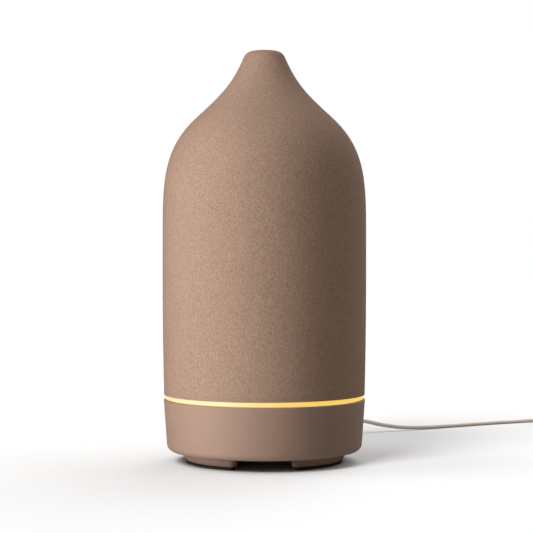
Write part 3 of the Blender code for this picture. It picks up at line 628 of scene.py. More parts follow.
base_section = rounded([
    (43.5, 27.0, 0.3), (41.9, 4.95, 3.0), (36.0, 4.95, 0.25), (36.0, 6.95, 0.25), (39.0, 6.95, 0.8),
    (39.98, 7.95), (41.33, 27.0, 0.3),
], steps=8)
holes = [level_cylinder(5.2, 36, 46, 0)]
holes += [level_cylinder(3.75, 36, 46, side * BUTTON_ANGLE) for side in (1, -1)]
shell = cut_away(spun(base_section, 192), holes)
base = as_piece("base_housing", shell, MATT_ABS, "base", ["base_shell"], smooth=30)
print("ring and base:", len(ring.data.polygons), "and", len(base.data.polygons), "faces")

# %% [markdown]
# ## Feet and bottom
#
# Three arc-shaped feet leave air gaps for the fan's inlet. They are moulded with the bottom plate and
# narrow slightly downwards, and each carries a thin rubber pad. A foot is a stack of outlines joined row by
# row.


# %% Feet
FOOT_OUTER, FOOT_INNER, FOOT_SPAN, FOOT_COUNT = 34.9, 29.4, 80.0, 3


def foot_outline(shrink, middle_angle):
    """An arc-shaped outline with round ends, drawn in by shrink mm all round."""
    half_width = (FOOT_OUTER - FOOT_INNER) / 2
    middle = (FOOT_OUTER + FOOT_INNER) / 2
    reach = FOOT_SPAN / 2 - math.degrees(half_width / middle)
    half_width -= shrink
    start, end = middle_angle - reach, middle_angle + reach
    outline = arc((0, 0), middle + half_width, start, end, 33)
    for angle in (end, start):
        tip = (middle * math.cos(math.radians(angle)), middle * math.sin(math.radians(angle)))
        if angle == end:
            outline += arc(tip, half_width, angle, angle + 180, 12)[1:-1]
            outline += arc((0, 0), middle - half_width, end, start, 33)
        else:
            outline += arc(tip, half_width, angle + 180, angle + 360, 12)[1:-1]
    return outline


def lofted(rings, capped=True):
    """A solid through rings of points in mm, capped or with its last ring joined to the first."""
    count = len(rings[0])
    verts = [Vector(point) * MM for ring in rings for point in ring]
    faces = []
    for k in range(len(rings) - capped):
        near, far = k * count, (k + 1) % len(rings) * count
        for i in range(count):
            j = (i + 1) % count
            faces.append((near + i, near + j, far + j, far + i))
    if capped:
        faces += [range(count)[::-1], range(len(verts) - count, len(verts))]
    mesh = bpy.data.meshes.new("loft")
    mesh.from_pydata(verts, [], faces)
    return mesh


def foot_mesh(shape, angle):
    """shape lists (height, shrink) from the bottom up."""
    return lofted([[(x, y, height) for x, y in foot_outline(shrink, angle)] for height, shrink in shape])


foot_shape = [(1.3, 1.15), (1.38, 0.92), (1.6, 0.72), (2.1, 0.5), (3.4, 0.22), (4.7, 0.08), (5.2, 0.08)]
pad_shape = [(0, 1.3), (0.12, 1.14), (0.8, 1.1), (1.0, 1.18)]
for i in range(FOOT_COUNT):
    middle = -30 + 360 / FOOT_COUNT * i
    as_piece(f"rubber_pad_{i + 1}", foot_mesh(pad_shape, middle), RUBBER, "base",
             [f"foot_pad_{i + 1}"])
feet = joined(*[foot_mesh(foot_shape, -30 + 360 / FOOT_COUNT * i) for i in range(FOOT_COUNT)])
print("feet:", FOOT_COUNT, "arcs of", FOOT_SPAN, "degrees")

# %% [markdown]
# ## Air slots
#
# The bottom plate is pierced under the fan by a row of slots that fill a circle. They repeat by a rule, so
# Geometry Nodes set them out: a line of points, a slot on each, and each slot as long as the circle allows.


# %% Air slots
FAN_CENTRE = (0, -19.5)
SLOT_COUNT, SLOT_PITCH, SLOT_WIDTH, SLOT_CIRCLE = 7, 3.4, 2.0, 12.2


def build_slots():
    sockets = [("Count", "NodeSocketInt"), ("Pitch", "NodeSocketFloat"), ("Width", "NodeSocketFloat"),
               ("Circle", "NodeSocketFloat"), ("Finish", "NodeSocketMaterial")]
    tree, given, result = node_tree("air_slots", sockets)
    half = maths(tree, "MULTIPLY", maths(tree, "SUBTRACT", given.outputs["Count"], 1.0), 0.5)
    start = maths(tree, "MULTIPLY", maths(tree, "MULTIPLY", half, -1.0), given.outputs["Pitch"])
    first = add(tree, "ShaderNodeCombineXYZ", {0: start}).outputs[0]
    step = add(tree, "ShaderNodeCombineXYZ", {0: given.outputs["Pitch"]}).outputs[0]
    line = add(tree, "GeometryNodeMeshLine", {"Count": given.outputs["Count"], "Start Location": first,
                                              "Offset": step}).outputs[0]
    place = add(tree, "GeometryNodeInputPosition").outputs[0]
    across = add(tree, "ShaderNodeSeparateXYZ", {0: place}).outputs[0]
    squared = maths(tree, "SUBTRACT", maths(tree, "POWER", given.outputs["Circle"], 2.0),
                    maths(tree, "POWER", maths(tree, "ABSOLUTE", across), 2.0))
    length = maths(tree, "MULTIPLY", maths(tree, "SQRT", squared), 2.0)
    size = add(tree, "ShaderNodeCombineXYZ", {0: given.outputs["Width"], 1: 1.0, 2: 10 * MM}).outputs[0]
    block = add(tree, "GeometryNodeMeshCube", {"Size": size}).outputs["Mesh"]
    stretch = add(tree, "ShaderNodeCombineXYZ", {0: 1.0, 1: length, 2: 1.0}).outputs[0]
    inputs = {"Points": line, "Instance": block, "Scale": stretch}
    return end_tree(tree, given, result, add(tree, "GeometryNodeInstanceOnPoints", inputs).outputs[0])


slots = run_tree(build_slots(), bpy.data.meshes.new("none"), Count=SLOT_COUNT, Pitch=SLOT_PITCH * MM,
                 Width=SLOT_WIDTH * MM, Circle=SLOT_CIRCLE * MM, Finish=MATT_ABS)
slots.transform(Matrix.Translation((FAN_CENTRE[0] * MM, FAN_CENTRE[1] * MM, 6 * MM)))
CASE_SCREWS = [(22.5, 14), (-22.5, 14), (-22.5, -14), (22.5, -14)]
wells = []
for x, y in CASE_SCREWS:
    well = rounded([(0, 4), (3.4, 4), (3.1, 5.2), (3.1, 6.05), (1.75, 6.05), (1.75, 9), (0, 9)])
    wells.append(spun(well, 32, (x * MM, y * MM, 0)))
plate = spun(rounded([(0, 6.95), (35.7, 6.95, 0.25), (35.7, 4.95, 0.3), (0, 4.95)]), 160)
bottom = cut_away(joined(cut_away(plate, [slots, *wells])), [feet], "UNION")
as_piece("bottom_plate", bottom, MATT_ABS, "base", ["bottom_cover"], smooth=30)
print("bottom plate with", SLOT_COUNT, "slots and", len(wells), "screw wells")

# %% [markdown]
# ## Inner pieces: three more ways to make them
#
# Blocks get rounded edges from a bmesh bevel. A piece of the frame whose own shape is right is copied,
# merged and bevelled, which keeps its exact place. What repeats is set out by Geometry Nodes: one tree puts
# a shape on each point of a list, and one puts it round a circle, turned to face outwards.


# %% Blocks and refined copies
def block(low, high, rounding, steps=3):
    """A box between two corners in mm, with all its edges rounded."""
    low, high = Vector(low), Vector(high)
    work = bmesh.new()
    bmesh.ops.create_cube(work, size=1)
    for vert in work.verts:
        vert.co = Vector([(a + b) / 2 + c * (b - a) for a, b, c in zip(low, high, vert.co)]) * MM
    bmesh.ops.bevel(work, geom=work.edges[:], offset=rounding * MM, segments=steps, profile=0.5,
                    affect="EDGES")
    made = bpy.data.meshes.new("block")
    work.to_mesh(made)
    work.free()
    return made


def refined(node, rounding):
    """The shape of one of the frame's nodes, merged, with its sharp edges rounded."""
    work = bmesh.new()
    work.from_mesh(frame["nodes"][node].data)
    bmesh.ops.remove_doubles(work, verts=work.verts, dist=1e-6)
    bmesh.ops.dissolve_limit(work, angle_limit=math.radians(1), verts=work.verts, edges=work.edges)
    sharp = [e for e in work.edges if len(e.link_faces) == 2 and e.calc_face_angle(0) > math.radians(40)]
    bmesh.ops.bevel(work, geom=sharp, offset=rounding * MM, segments=2, profile=0.5, affect="EDGES",
                    clamp_overlap=True)
    made = bpy.data.meshes.new(node)
    work.to_mesh(made)
    work.free()
    return made


def stand_in(name, mesh, finish, *nodes, smooth=35):
    """A finished piece in place of some of the frame's nodes, on their body."""
    body = frame["nodes"][nodes[0]]["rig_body"]
    return as_piece(name, mesh, finish, body, nodes, smooth)


def build_copies(name, round_circle):
    """A tree that sets a shape on every point, or on a circle of points and turned to face outwards."""
    sockets = [("Shape", "NodeSocketObject"), ("Finish", "NodeSocketMaterial")]
    if round_circle:
        sockets += [("Count", "NodeSocketInt"), ("Radius", "NodeSocketFloat")]
        sockets.append(("First angle", "NodeSocketFloat"))
    tree, given, result = node_tree(name, sockets)
    shape = add(tree, "GeometryNodeObjectInfo", {"Object": given.outputs["Shape"]}).outputs["Geometry"]
    inputs = {"Points": given.outputs["Geometry"], "Instance": shape}
    if round_circle:
        inputs["Points"] = add(tree, "GeometryNodeMeshCircle", {
            "Vertices": given.outputs["Count"], "Radius": given.outputs["Radius"]}).outputs[0]
        spot = add(tree, "ShaderNodeSeparateXYZ", {0: add(tree, "GeometryNodeInputPosition").outputs[0]})
        angle = maths(tree, "ARCTAN2", spot.outputs[1], spot.outputs[0])
        inputs["Rotation"] = add(tree, "ShaderNodeCombineXYZ", {2: angle}).outputs[0]
    placed = add(tree, "GeometryNodeInstanceOnPoints", inputs).outputs[0]
    if round_circle:
        turn = add(tree, "ShaderNodeCombineXYZ", {2: given.outputs["First angle"]}).outputs[0]
        placed = add(tree, "GeometryNodeTransform", {"Geometry": placed, "Rotation": turn}).outputs[0]
    return end_tree(tree, given, result, placed)


ON_POINTS = build_copies("copies_on_points", False)
ROUND_CIRCLE = build_copies("copies_round_circle", True)


def copies(shape, finish, places=None, **values):
    """Copies of a mesh on places (in mm), or round a circle given by Count and Radius."""
    pattern = bpy.data.objects.new("pattern", cleaned(shape))
    points = bpy.data.meshes.new("places")
    points.from_pydata([Vector(p) * MM for p in places or []], [], [])
    tree = ON_POINTS if places else ROUND_CIRCLE
    made = run_tree(tree, points, Shape=pattern, Finish=finish, **values)
    bpy.data.objects.remove(pattern)
    return made


print("trees for copies:", ON_POINTS.name, ROUND_CIRCLE.name)

# %% [markdown]
# ## Tank and lid
#
# The tank is a moulded cup of milky polypropylene with a fill line inside, a seat for the transducer in its
# floor and bosses below for the screws. An air riser stands in it near the front. The lid is a bell whose
# long spout carries the mist up to the hole in the cover.

# %% Tank, riser, lid and spout
RISER = (0, -26.5 * MM, 0)
RETAINER_CIRCLE, RETAINER_ANGLES = 16.7, (90, 210, 330)
retainer_places = []
for angle in map(math.radians, RETAINER_ANGLES):
    retainer_places.append((RETAINER_CIRCLE * math.cos(angle), RETAINER_CIRCLE * math.sin(angle)))


def pin(radius, low, high, place=(0, 0), edge=0.0, steps=32):
    """A solid round pin between two heights in mm."""
    section = rounded([(0, low), (radius, low, edge), (radius, high, edge), (0, high)])
    return spun(section, steps, (place[0] * MM, place[1] * MM, 0))


tank_section = rounded([
    (37.0, 74.0, 0.6), (37.0, 33.2, 0.8), (38.3, 32.0, 0.3), (38.3, 28.6, 0.3), (14.5, 28.6, 0.4),
    (14.5, 24.3, 0.2), (12.9, 24.3, 0.2), (12.9, 27.8), (8.0, 27.8, 0.2), (8.0, 29.8, 0.4),
    (32.0, 31.0, 2.0), (35.0, 33.0, 1.5), (35.0, 59.8), (34.7, 60.0, 0.1), (34.7, 60.5, 0.1),
    (35.0, 60.7), (35.0, 74.0, 0.6),
])
bosses = [pin(3.0, 7.3, 29.6, p, 0.2) for p in CASE_SCREWS]
bosses += [pin(2.6, 24.3, 29.6, p, 0.2) for p in retainer_places]
bores = [pin(1.6, 6, 19, p) for p in CASE_SCREWS] + [pin(1.35, 20, 27.8, p) for p in retainer_places]
bores.append(pin(5.9, 20, 40, (0, -26.5)))
tank_body = cut_away(cut_away(spun(tank_section, 144), [joined(*bosses)], "UNION"), [joined(*bores)])
stand_in("water_tank_cup", tank_body, MILKY_PP, "water_tank")
riser = rounded([(5.6, 69.0, 0.5), (5.6, 22.5, 0.2), (4.2, 22.5, 0.2), (4.2, 69.0, 0.5)])
stand_in("air_riser_tube", spun(riser, 64, RISER), MILKY_PP, "air_riser")

dome = bezier((36.6, 77.3), (34, 96), (9, 92), (7.6, 112), 32)
lid_section = rounded([
    (34.5, 74.3), (36.6, 74.3, 0.4), *dome, (7.6, 112.0, 0.4), (6.0, 112.0, 0.3),
    *offset_inwards(dome, 1.6)[:1:-1], (33.0, 77.3), (33.0, 69.5, 0.5), (34.5, 69.5, 0.5),
])
stand_in("tank_lid", spun(lid_section, 144), MILKY_PP, "inner_lid")
spout = rounded([(6.4, 162.0, 0.6), (7.6, 112.3, 0.3), (6.0, 112.3, 0.3), (4.8, 162.0, 0.6)])
stand_in("mist_spout", spun(spout, 72), MILKY_PP, "lid_spout")
print("tank:", len(tank_body.polygons), "faces")

# %% [markdown]
# ## Screws
#
# Every screw here is a pan head with a cross recess on a threaded shank. One function spins it and cuts the
# recess; the tree for copies then sets it on its places.


# %% Screws
def screw_mesh(head_radius, head_height, shank, length, points_up=False):
    thread, pitch = shank * 0.82, 0.8
    outline = [(0, -length), (thread * 0.5, -length), (thread, -length + 0.8)]
    z = -length + 1.2
    while z < -0.6:
        outline += [(thread, z), (shank, z + 0.3), (shank, z + 0.4), (thread, z + 0.7)]
        z += pitch
    outline += [(shank * 0.9, -0.1), (shank * 0.9, 0), (head_radius, 0, 0.08),
                (head_radius * 0.96, head_height * 0.6, 0.15), (head_radius * 0.6, head_height, 0.3),
                (0, head_height)]
    body = spun(rounded(outline, 3), 28)
    arm, reach = head_radius * 0.11, head_radius * 0.55
    floor_height, above = head_height * 0.35, head_height + 1
    cross = [block((-reach, -arm, floor_height), (reach, arm, above), 0.04, 1),
             block((-arm, -reach, floor_height), (arm, reach, above), 0.04, 1)]
    made = cut_away(body, cross)
    if points_up:
        made.transform(Matrix.Rotation(math.pi, 4, "X"))
    return made


# head radius, head height, shank radius, length, points up, height of the head's seat, places
SCREWS = {
    "case_screw": (2.7, 0.75, 1.3, 12, True, 5.75, CASE_SCREWS),
    "retainer_screw": (2.3, 1.2, 1.05, 5, True, 22.3, retainer_places),
    "fan_screw": (2.2, 1.2, 1.2, 9.6, False, 15.8, [(12, -7.5), (-12, -31.5)]),
    "board_screw": (2.2, 1.2, 1.15, 3.2, False, 10.7, [(17.5, 2.5), (-17.5, 2.5)]),
}
for name, (radius, height, shank, length, points_up, seat, places) in SCREWS.items():
    made = copies(screw_mesh(radius, height, shank, length, points_up), PLATED_STEEL,
                  [(x, y, seat) for x, y in places])
    stand_in(f"{name}s", made, PLATED_STEEL, *[f"{name}_{i + 1}" for i in range(len(places))])
print("screws:", {name: len(values[-1]) for name, values in SCREWS.items()})

# %% [markdown]
# ## Transducer
#
# The disc that shakes the water into mist is a thin steel-faced ceramic plate in a soft silicone ring. A
# moulded ring with three screws holds both up against the tank's floor.

# %% Transducer
seal = rounded([(12.6, 27.5, 0.5), (12.6, 24.6, 0.4), (9.0, 24.6, 0.3), (9.0, 25.4), (10.3, 25.4),
                (10.3, 26.8), (9.0, 26.8), (9.0, 27.5, 0.3)])
stand_in("silicone_seal", spun(seal, 96), SILICONE, "transducer_seal")
disc = rounded([(0, 26.42), (6.8, 26.42, 0.2), (7.2, 26.5, 0.1), (10, 26.5, 0.2), (10, 25.7, 0.2),
                (0, 25.7)])
stand_in("mist_disc", spun(disc, 96), PLATED_STEEL, "transducer_disc")
retainer = rounded([(19, 24.0, 0.3), (19, 22.6, 0.3), (6.5, 22.6, 0.3), (6.5, 24.0, 0.3)])
retainer_holes = joined(*[pin(1.6, 20, 26, p) for p in retainer_places])
stand_in("retaining_ring", cut_away(spun(retainer, 96), [retainer_holes]), MILKY_PP, "transducer_retainer")

# %% [markdown]
# ## Fan and duct
#
# A 30 mm fan draws air in through the slots. Its blades are lofted: a thin oval at each radius, steeper
# near the hub, as the speed there is lower. The circle tree sets them round the cup.


# %% Fan and duct
BLADE_COUNT = 7


def blade_mesh():
    """One blade along +X, as a stack of ovals from the hub out."""
    rings = []
    stations, around, middle_height, half_thickness = 6, 12, 12.3, 0.38
    for i in range(stations):
        share = i / (stations - 1)
        radius, tilt, chord = 5.7 + 7.5 * share, math.radians(28 + 20 * share), 2.75 + 0.45 * share
        ring = []
        for k in range(around):
            turn = 2 * math.pi * k / around
            along, thick = chord * math.cos(turn), half_thickness * math.sin(turn)
            ring.append((radius, -along * math.sin(tilt) + thick * math.cos(tilt),
                         middle_height + along * math.cos(tilt) + thick * math.sin(tilt)))
        rings.append(ring)
    return lofted(rings)


def at_fan(mesh):
    mesh.transform(Matrix.Translation((FAN_CENTRE[0] * MM, FAN_CENTRE[1] * MM, 0)))
    return mesh


frame_holes = [pin(13.8, 0, 20, FAN_CENTRE, steps=96)]
frame_holes += [pin(1.7, 0, 20, (sx * 12, FAN_CENTRE[1] + sy * 12)) for sx in (1, -1) for sy in (1, -1)]
struts = [pin(5.6, 7.5, 8.7, (0, 0), 0.2, 48)]
for i in range(3):
    strut = block((4.5, -0.9, 7.55), (14.9, 0.9, 8.6), 0.2, 2)
    strut.transform(Matrix.Rotation(math.radians(90 + 120 * i), 4, "Z"))
    struts.append(strut)
fan_box = cut_away(block((-15, -34.5, 7.5), (15, -4.5, 15.5), 0.9), frame_holes)
stand_in("fan_housing", cut_away(fan_box, [at_fan(s) for s in struts], "UNION"), BLACK_PLASTIC, "fan_frame")
stand_in("fan_bearing_sleeve", at_fan(spun(rounded([
    (2.2, 13.0, 0.15), (2.2, 9.0, 0.15), (1.1, 9.0, 0.1), (1.1, 13.0, 0.1)]), 48)), BRASS, "fan_bearing")
winding = rounded([(4.7, 12.6, 0.7), (4.7, 9.0, 0.7), (2.6, 9.0, 0.3), (2.6, 12.6, 0.3)])
stand_in("fan_winding", at_fan(spun(winding, 48)), COPPER_WINDING, "fan_stator")
cup = rounded([(0, 15.2), (6.3, 15.2, 0.5), (6.3, 9.4, 0.1), (5.2, 9.4, 0.1), (5.2, 14.2, 0.3), (0, 14.2)])
blades = copies(blade_mesh(), BLACK_PLASTIC, Count=BLADE_COUNT, Radius=0.0001 * MM)
stand_in("fan_wheel", at_fan(cut_away(spun(cup, 72), [blades], "UNION")), BLACK_PLASTIC, "fan_impeller")
stand_in("fan_axle", at_fan(pin(0.75, 9.0, 13.9, (0, 0), 0.1, 24)), PLATED_STEEL, "fan_shaft")
hood = rounded([(0, 19.8), (14.3, 19.8, 1.2), (14.3, 15.8, 0.2), (13.1, 15.8, 0.2), (13.1, 18.6, 0.6),
                (0, 18.6)])
duct = cut_away(at_fan(spun(hood, 96)), [pin(3.8, 19.2, 25, (0, -26.5), 0.3, 48)], "UNION")
stand_in("fan_duct", cut_away(duct, [pin(2.8, 17.8, 27, (0, -26.5), steps=48)]), MILKY_PP, "air_duct")
print("fan with", BLADE_COUNT, "blades")

# %% [markdown]
# ## Electronics
#
# The main board fills the back half of the base. It carries the power socket and the two switches on its
# edge, a chip, an inductor, a capacitor and a finned heat sink. Rows of small resistors and the chip's legs
# are set out as copies.

# %% Boards and what is on them
board_area = block((-23.5, -2.5, 0), (23.5, 50, 30), 0.2)
board = cut_away(pin(37.4, 8.8, 10.4, (0, 0), 0.1, 160), [board_area], "INTERSECT")
notches = [pin(3.6, 5, 15, p) for p in CASE_SCREWS[:2]]
notches += [pin(1.5, 5, 15, (side * 17.5, 2.5)) for side in (1, -1)]
stand_in("main_board_plate", cut_away(board, notches), BOARD, "main_board")
sockets = []
for x in (-8, 0.5, 9):
    hollow = block((x - 1.9, -0.9, 12.9), (x + 1.9, 1.9, 14.5), 0.1)
    sockets.append(cut_away(block((x - 2.5, -1.5, 10.4), (x + 2.5, 2.5, 13.6), 0.2), [hollow]))
as_piece("lead_sockets", joined(*sockets), MILKY_PP, "base")
stand_in("controller_chip_body", block((3.5, 7, 10.75), (11.5, 12, 12.3), 0.15, 2), BLACK_PLASTIC,
         "controller_chip")
leg = block((-0.2, -0.5, 10.42), (0.2, 0.5, 11.2), 0.06, 1)
legs = [(4.3 + 0.93 * i, y, 0) for i in range(8) for y in (6.8, 12.2)]
as_piece("chip_legs", copies(leg, PLATED_STEEL, legs), PLATED_STEEL, "base")
resistor = block((-0.9, -0.5, 10.42), (0.9, 0.5, 11.0), 0.12, 2)
rows = [(x, y, 0) for x in (-19.5, -16.5, 16.8, 19.6) for y in (23, 25, 27)]
rows += [(14.5, y, 0) for y in (7.5, 9.5, 11.5)]
as_piece("resistor_rows", copies(resistor, BLACK_PLASTIC, rows), BLACK_PLASTIC, "base")
INDUCTOR, CAPACITOR = (11.5, 19), (-12.5, 20)
drum = rounded([(0, 17), (4, 17, 0.3), (4, 15.8, 0.2), (2.2, 15.8), (2.2, 12), (4, 12, 0.2), (4, 10.7, 0.3),
                (0, 10.7)])
as_piece("inductor_core", spun(drum, 48, (INDUCTOR[0] * MM, INDUCTOR[1] * MM, 0)), BLACK_PLASTIC, "base")
wire_turns = [(2.3, 12.1)] + [(3.25 + 0.15 * (i % 2), 12.15 + 0.12 * i) for i in range(31)] + [(2.3, 15.75)]
stand_in("inductor_winding", spun(wire_turns, 48, (INDUCTOR[0] * MM, INDUCTOR[1] * MM, 0)), COPPER_WINDING,
         "power_inductor")
can = rounded([(0, 19.85), (3.1, 19.85, 0.1), (3.3, 20, 0.1), (4, 20, 0.4), (4, 12.4, 0.2),
               (3.7, 12.1, 0.2), (4, 11.8, 0.2), (4, 10.7, 0.2), (0, 10.7)])
stand_in("capacitor_can", spun(can, 48, (CAPACITOR[0] * MM, CAPACITOR[1] * MM, 0)), BLACK_PLASTIC,
         "smoothing_capacitor")
stand_in("finned_heat_sink", refined("heat_sink", 0.15), ALUMINIUM, "heat_sink")
led_ring = rounded([(40.4, 22, 0.1), (40.4, 20.8, 0.1), (37.9, 20.8, 0.1), (37.9, 22, 0.1)])
stand_in("led_ring_board", spun(led_ring, 160), BOARD, "led_board")
LED_COUNT, LED_CIRCLE = 8, 39.2
led = block((-0.9, -1.4, 22.02), (0.9, 1.4, 22.9), 0.15, 2)
circle = {"Count": LED_COUNT, "Radius": LED_CIRCLE * MM, "First angle": math.pi / LED_COUNT}
leds = copies(led, LIT_ACRYLIC, **circle)
as_piece("ring_leds", leds, LIT_ACRYLIC, "base")
print("small parts:", len(rows), "resistors,", len(legs), "legs,", LED_COUNT, "LEDs")

# %% [markdown]
# ## Socket and buttons
#
# At the back are a barrel socket and two round buttons with dished faces, one each side. The buttons slide
# in half a millimetre and push the plungers of two switches on the board's edge.

# %% Socket and buttons
bore = level_cylinder(3.05, 28.4, 45, 0)
jack = cut_away(block((-4.5, 26, 10.7), (4.5, 39.2, 20.3), 0.5), [bore])
stand_in("power_socket", jack, BLACK_PLASTIC, "dc_jack")
stand_in("power_socket_pin", level_cylinder(1.0, 28.7, 38, 0, 32, 0.6), PLATED_STEEL, "dc_jack_pin")
for name, side in (("mist", 1), ("light", -1)):
    level, turn = (0, 0, SOCKET_HEIGHT * MM), lay_level(side * BUTTON_ANGLE)
    cap = rounded([(0, 42.75), (1.6, 42.83, 2.0), (2.6, 43.1, 0.3), (3.1, 43.1, 0.2), (3.4, 42.8, 0.2),
                   (3.4, 39.8, 0.1), (4.5, 39.8, 0.2), (4.5, 38.9, 0.2), (1.5, 38.9), (1.5, 37.6, 0.2),
                   (0, 37.6)])
    stand_in(f"{name}_button_cap", spun(cap, 64, level, turn), MATT_ABS, f"{name}_button")
    stand_in(f"{name}_switch_plunger", level_cylinder(1.7, 34.4, 37.3, side * BUTTON_ANGLE, 32, 0.25),
             BLACK_PLASTIC, f"{name}_plunger")
    stand_in(f"{name}_switch_body", refined(f"{name}_switch", 0.12), BLACK_PLASTIC, f"{name}_switch")
print("two buttons at", BUTTON_ANGLE, "degrees from the back")

# %% [markdown]
# ## Wires
#
# Each inner lead is a pair of thin wires, red and black, side by side from one socket to its load. They are
# curves with a round bevel, made into meshes.


# %% Wires
WIRE_RADIUS = 0.34 * MM


def wire(route, shift):
    """A thin wire along the route, moved sideways by the shift; all in mm."""
    points = [Vector(point) + Vector(shift) for point in route]
    return plain_mesh(linked("wire", round_line("wire", points, WIRE_RADIUS, 2, 6)))


LEADS = {
    "fan_lead": ([(13.8, -3.8, 11.5), (14.2, -2, 14.5), (12.5, 0, 16.5), (10, 0.6, 16.2), (9, 0.6, 14.1)],
                 (0, 0.36, 0)),
    "transducer_lead": ([(2, 2, 25.2), (2.2, 2, 21.5), (1.8, 1.6, 18), (0.8, 0.7, 15.8), (0.5, 0.6, 14.1)],
                        (0.25, -0.25, 0)),
    "led_lead": ([(-37.4, 4, 20.2), (-35.5, 3.6, 17), (-28, 2.4, 15.6), (-18, 1.2, 17), (-10, 0.6, 16.6),
                  (-8, 0.6, 14.1)], (0, 0.36, 0)),
}
for name, (route, shift) in LEADS.items():
    other = tuple(-s for s in shift)
    stand_in(f"{name}_red", wire(route, shift), RED_PVC, name)
    as_piece(f"{name}_black", wire(route, other), BLACK_PLASTIC, "base")
print("leads:", list(LEADS))

# %% [markdown]
# ## Plug, adapter and tie
#
# The plug and the adapter's outlet end in ribbed sleeves that taper down to the cord, so that it can't kink
# where it leaves. The adapter is a rounded box in two shells with a fine seam, and its flat blades have the
# usual hole near the tip. A flat strap with round corners holds the coil together.


# %% Plug, adapter and tie
def ribbed(start, end, thick, thin, ribs, groove=0.35):
    """A tapering sleeve with grooves across it, as (radius, height) corners."""
    corners = []
    step = (end - start) / ribs
    for i in range(ribs):
        for part, inset in ((0.0, 0), (0.55, 0), (0.62, groove), (0.93, groove)):
            share = (i + part) / ribs
            corners.append((thick + (thin - thick) * share - inset, start + step * (i + part), 0.08))
    return corners + [(thin, end, 0.15)]


def level_piece(corners, place):
    """A section spun about a level axis that points to the back."""
    return spun(rounded(corners, 3), 56, place, (math.radians(-90), 0, 0))


SOCKET_LEVEL = (0, 0, SOCKET_HEIGHT * MM)
grip = [(4.6, 43 + 1.2 * i + part, 0.1) if part in (0, 0.6) else (4.35, 43 + 1.2 * i + part, 0.1)
        for i in range(8) for part in (0, 0.6, 0.75, 1.05)]
plug = [(0, 39.8), (4.2, 39.8, 0.2), (4.6, 40.3, 0.3), *grip, (4.6, 53.2, 0.6), (3.1, 55.2, 0.4),
        *ribbed(56, 68, 2.9, 1.65, 7, 0.3), (1.15, 68), (0, 68)]
stand_in("plug_body", level_piece(plug, SOCKET_LEVEL), PALE_PVC, "dc_plug")
barrel = [(2.75, 39.5), (2.75, 30.3, 0.5), (1.4, 30.3, 0.3), (1.4, 39.5)]
stand_in("plug_barrel", level_piece(barrel, SOCKET_LEVEL), PLATED_STEEL, "dc_plug_barrel")

SEAM = 175.0
whole = block((167, 48, 0), (193, 102, 32), 3.2, 6)
back_shell = cut_away(whole.copy(), [block((SEAM, 40, -5), (200, 110, 40), 0.1, 1)])
stand_in("adapter_shell_back", back_shell, PALE_PVC, "adapter_back", smooth=25)
front_shell = cut_away(whole, [block((160, 40, -5), (SEAM + 0.3, 110, 40), 0.1, 1)])
sleeve = level_piece([(0, 99.5), (3.4, 99.5), (3.4, 101.8, 0.2), *ribbed(102.2, 112, 3.1, 1.65, 6, 0.35),
                      (1.15, 112), (0, 112)], (180 * MM, 0, 16 * MM))
front_shell = cut_away(front_shell, [sleeve], "UNION")
stand_in("adapter_shell_front", front_shell, PALE_PVC, "adapter_front", smooth=25)
for i, height in enumerate((22.35, 9.65)):
    blade = block((151, 71.85, height - 0.75), (166.7, 78.15, height + 0.75), 0.35)
    hole = spun(rounded([(0, -2), (1.5, -2), (1.5, 2), (0, 2)]), 32, (154.2 * MM, 75 * MM, height * MM))
    stand_in(f"mains_blade_{i + 1}", cut_away(blade, [hole]), BRASS, f"adapter_blade_{i + 1}")


def strap_mesh(low, high, wall, corner):
    """A flat band bent round the coil: an upright loop with round corners, between two corners in mm."""
    (left, front, foot), (right, back, top) = low, high
    bevel = 0.2 * wall
    east, west, upper, lower = right - corner, left + corner, top - corner, foot + corner
    centres = [(east, upper), (west, upper), (west, lower), (east, lower)]
    section = [(bevel, front), (0, front + bevel), (0, back - bevel), (bevel, back), (wall - bevel, back),
               (wall, back - bevel), (wall, front + bevel), (wall - bevel, front)]
    rings = []
    for inset, y in section:
        loop = [p for i, c in enumerate(centres) for p in arc(c, corner - inset, 90 * i, 90 * i + 90, 7)]
        rings.append([(x, y, z) for x, z in loop])
    return lofted(rings, capped=False)


strap = strap_mesh((150.7, 142.5, 0), (162.85, 145.5, 10.35), 0.4, 1.8)
stand_in("cord_strap", strap, BLACK_PLASTIC, "cord_tie")
print("plug, adapter and strap made")

# %% [markdown]
# ## Light and floor
#
# A tall narrow soft light stands close by on the left: close, so that its light falls away quickly round
# the body and leaves the right side dark. Weak lights behind draw the far edge, one overhead reaches the
# shoulder, and a small low one the feet. Light linking keeps all of them off the floor. Four suns of their
# own light the floor and the lead, so that it is plain white, with a soft shadow to the right.


# %% Light and floor
def area_light(name, power, size, place, aim):
    data = bpy.data.lights.new(name, "AREA")
    data.shape = "RECTANGLE"
    data.size, data.size_y = size
    data.energy = power
    light = linked(name, data)
    light.location = place
    light.rotation_euler = (Vector(aim) - Vector(place)).to_track_quat("-Z", "Y").to_euler()
    light.visible_camera = False
    return light


def white_floor():
    """White paper. Only the camera sees it full bright: what it throws back on the object is held down."""
    made, tree, shader, place = new_finish("white_floor", Roughness=0.9, Specular_IOR_Level=0.1)
    paper = shades(tree, noise(tree, place, 3, 2), 0.3, 0.7, "f4f4f4", "f6f6f6")
    seen = add(tree, "ShaderNodeLightPath").outputs["Is Camera Ray"]
    tree.links.new(mix_colours(tree, seen, colour("989490"), paper), shader.inputs["Base Color"])
    return made


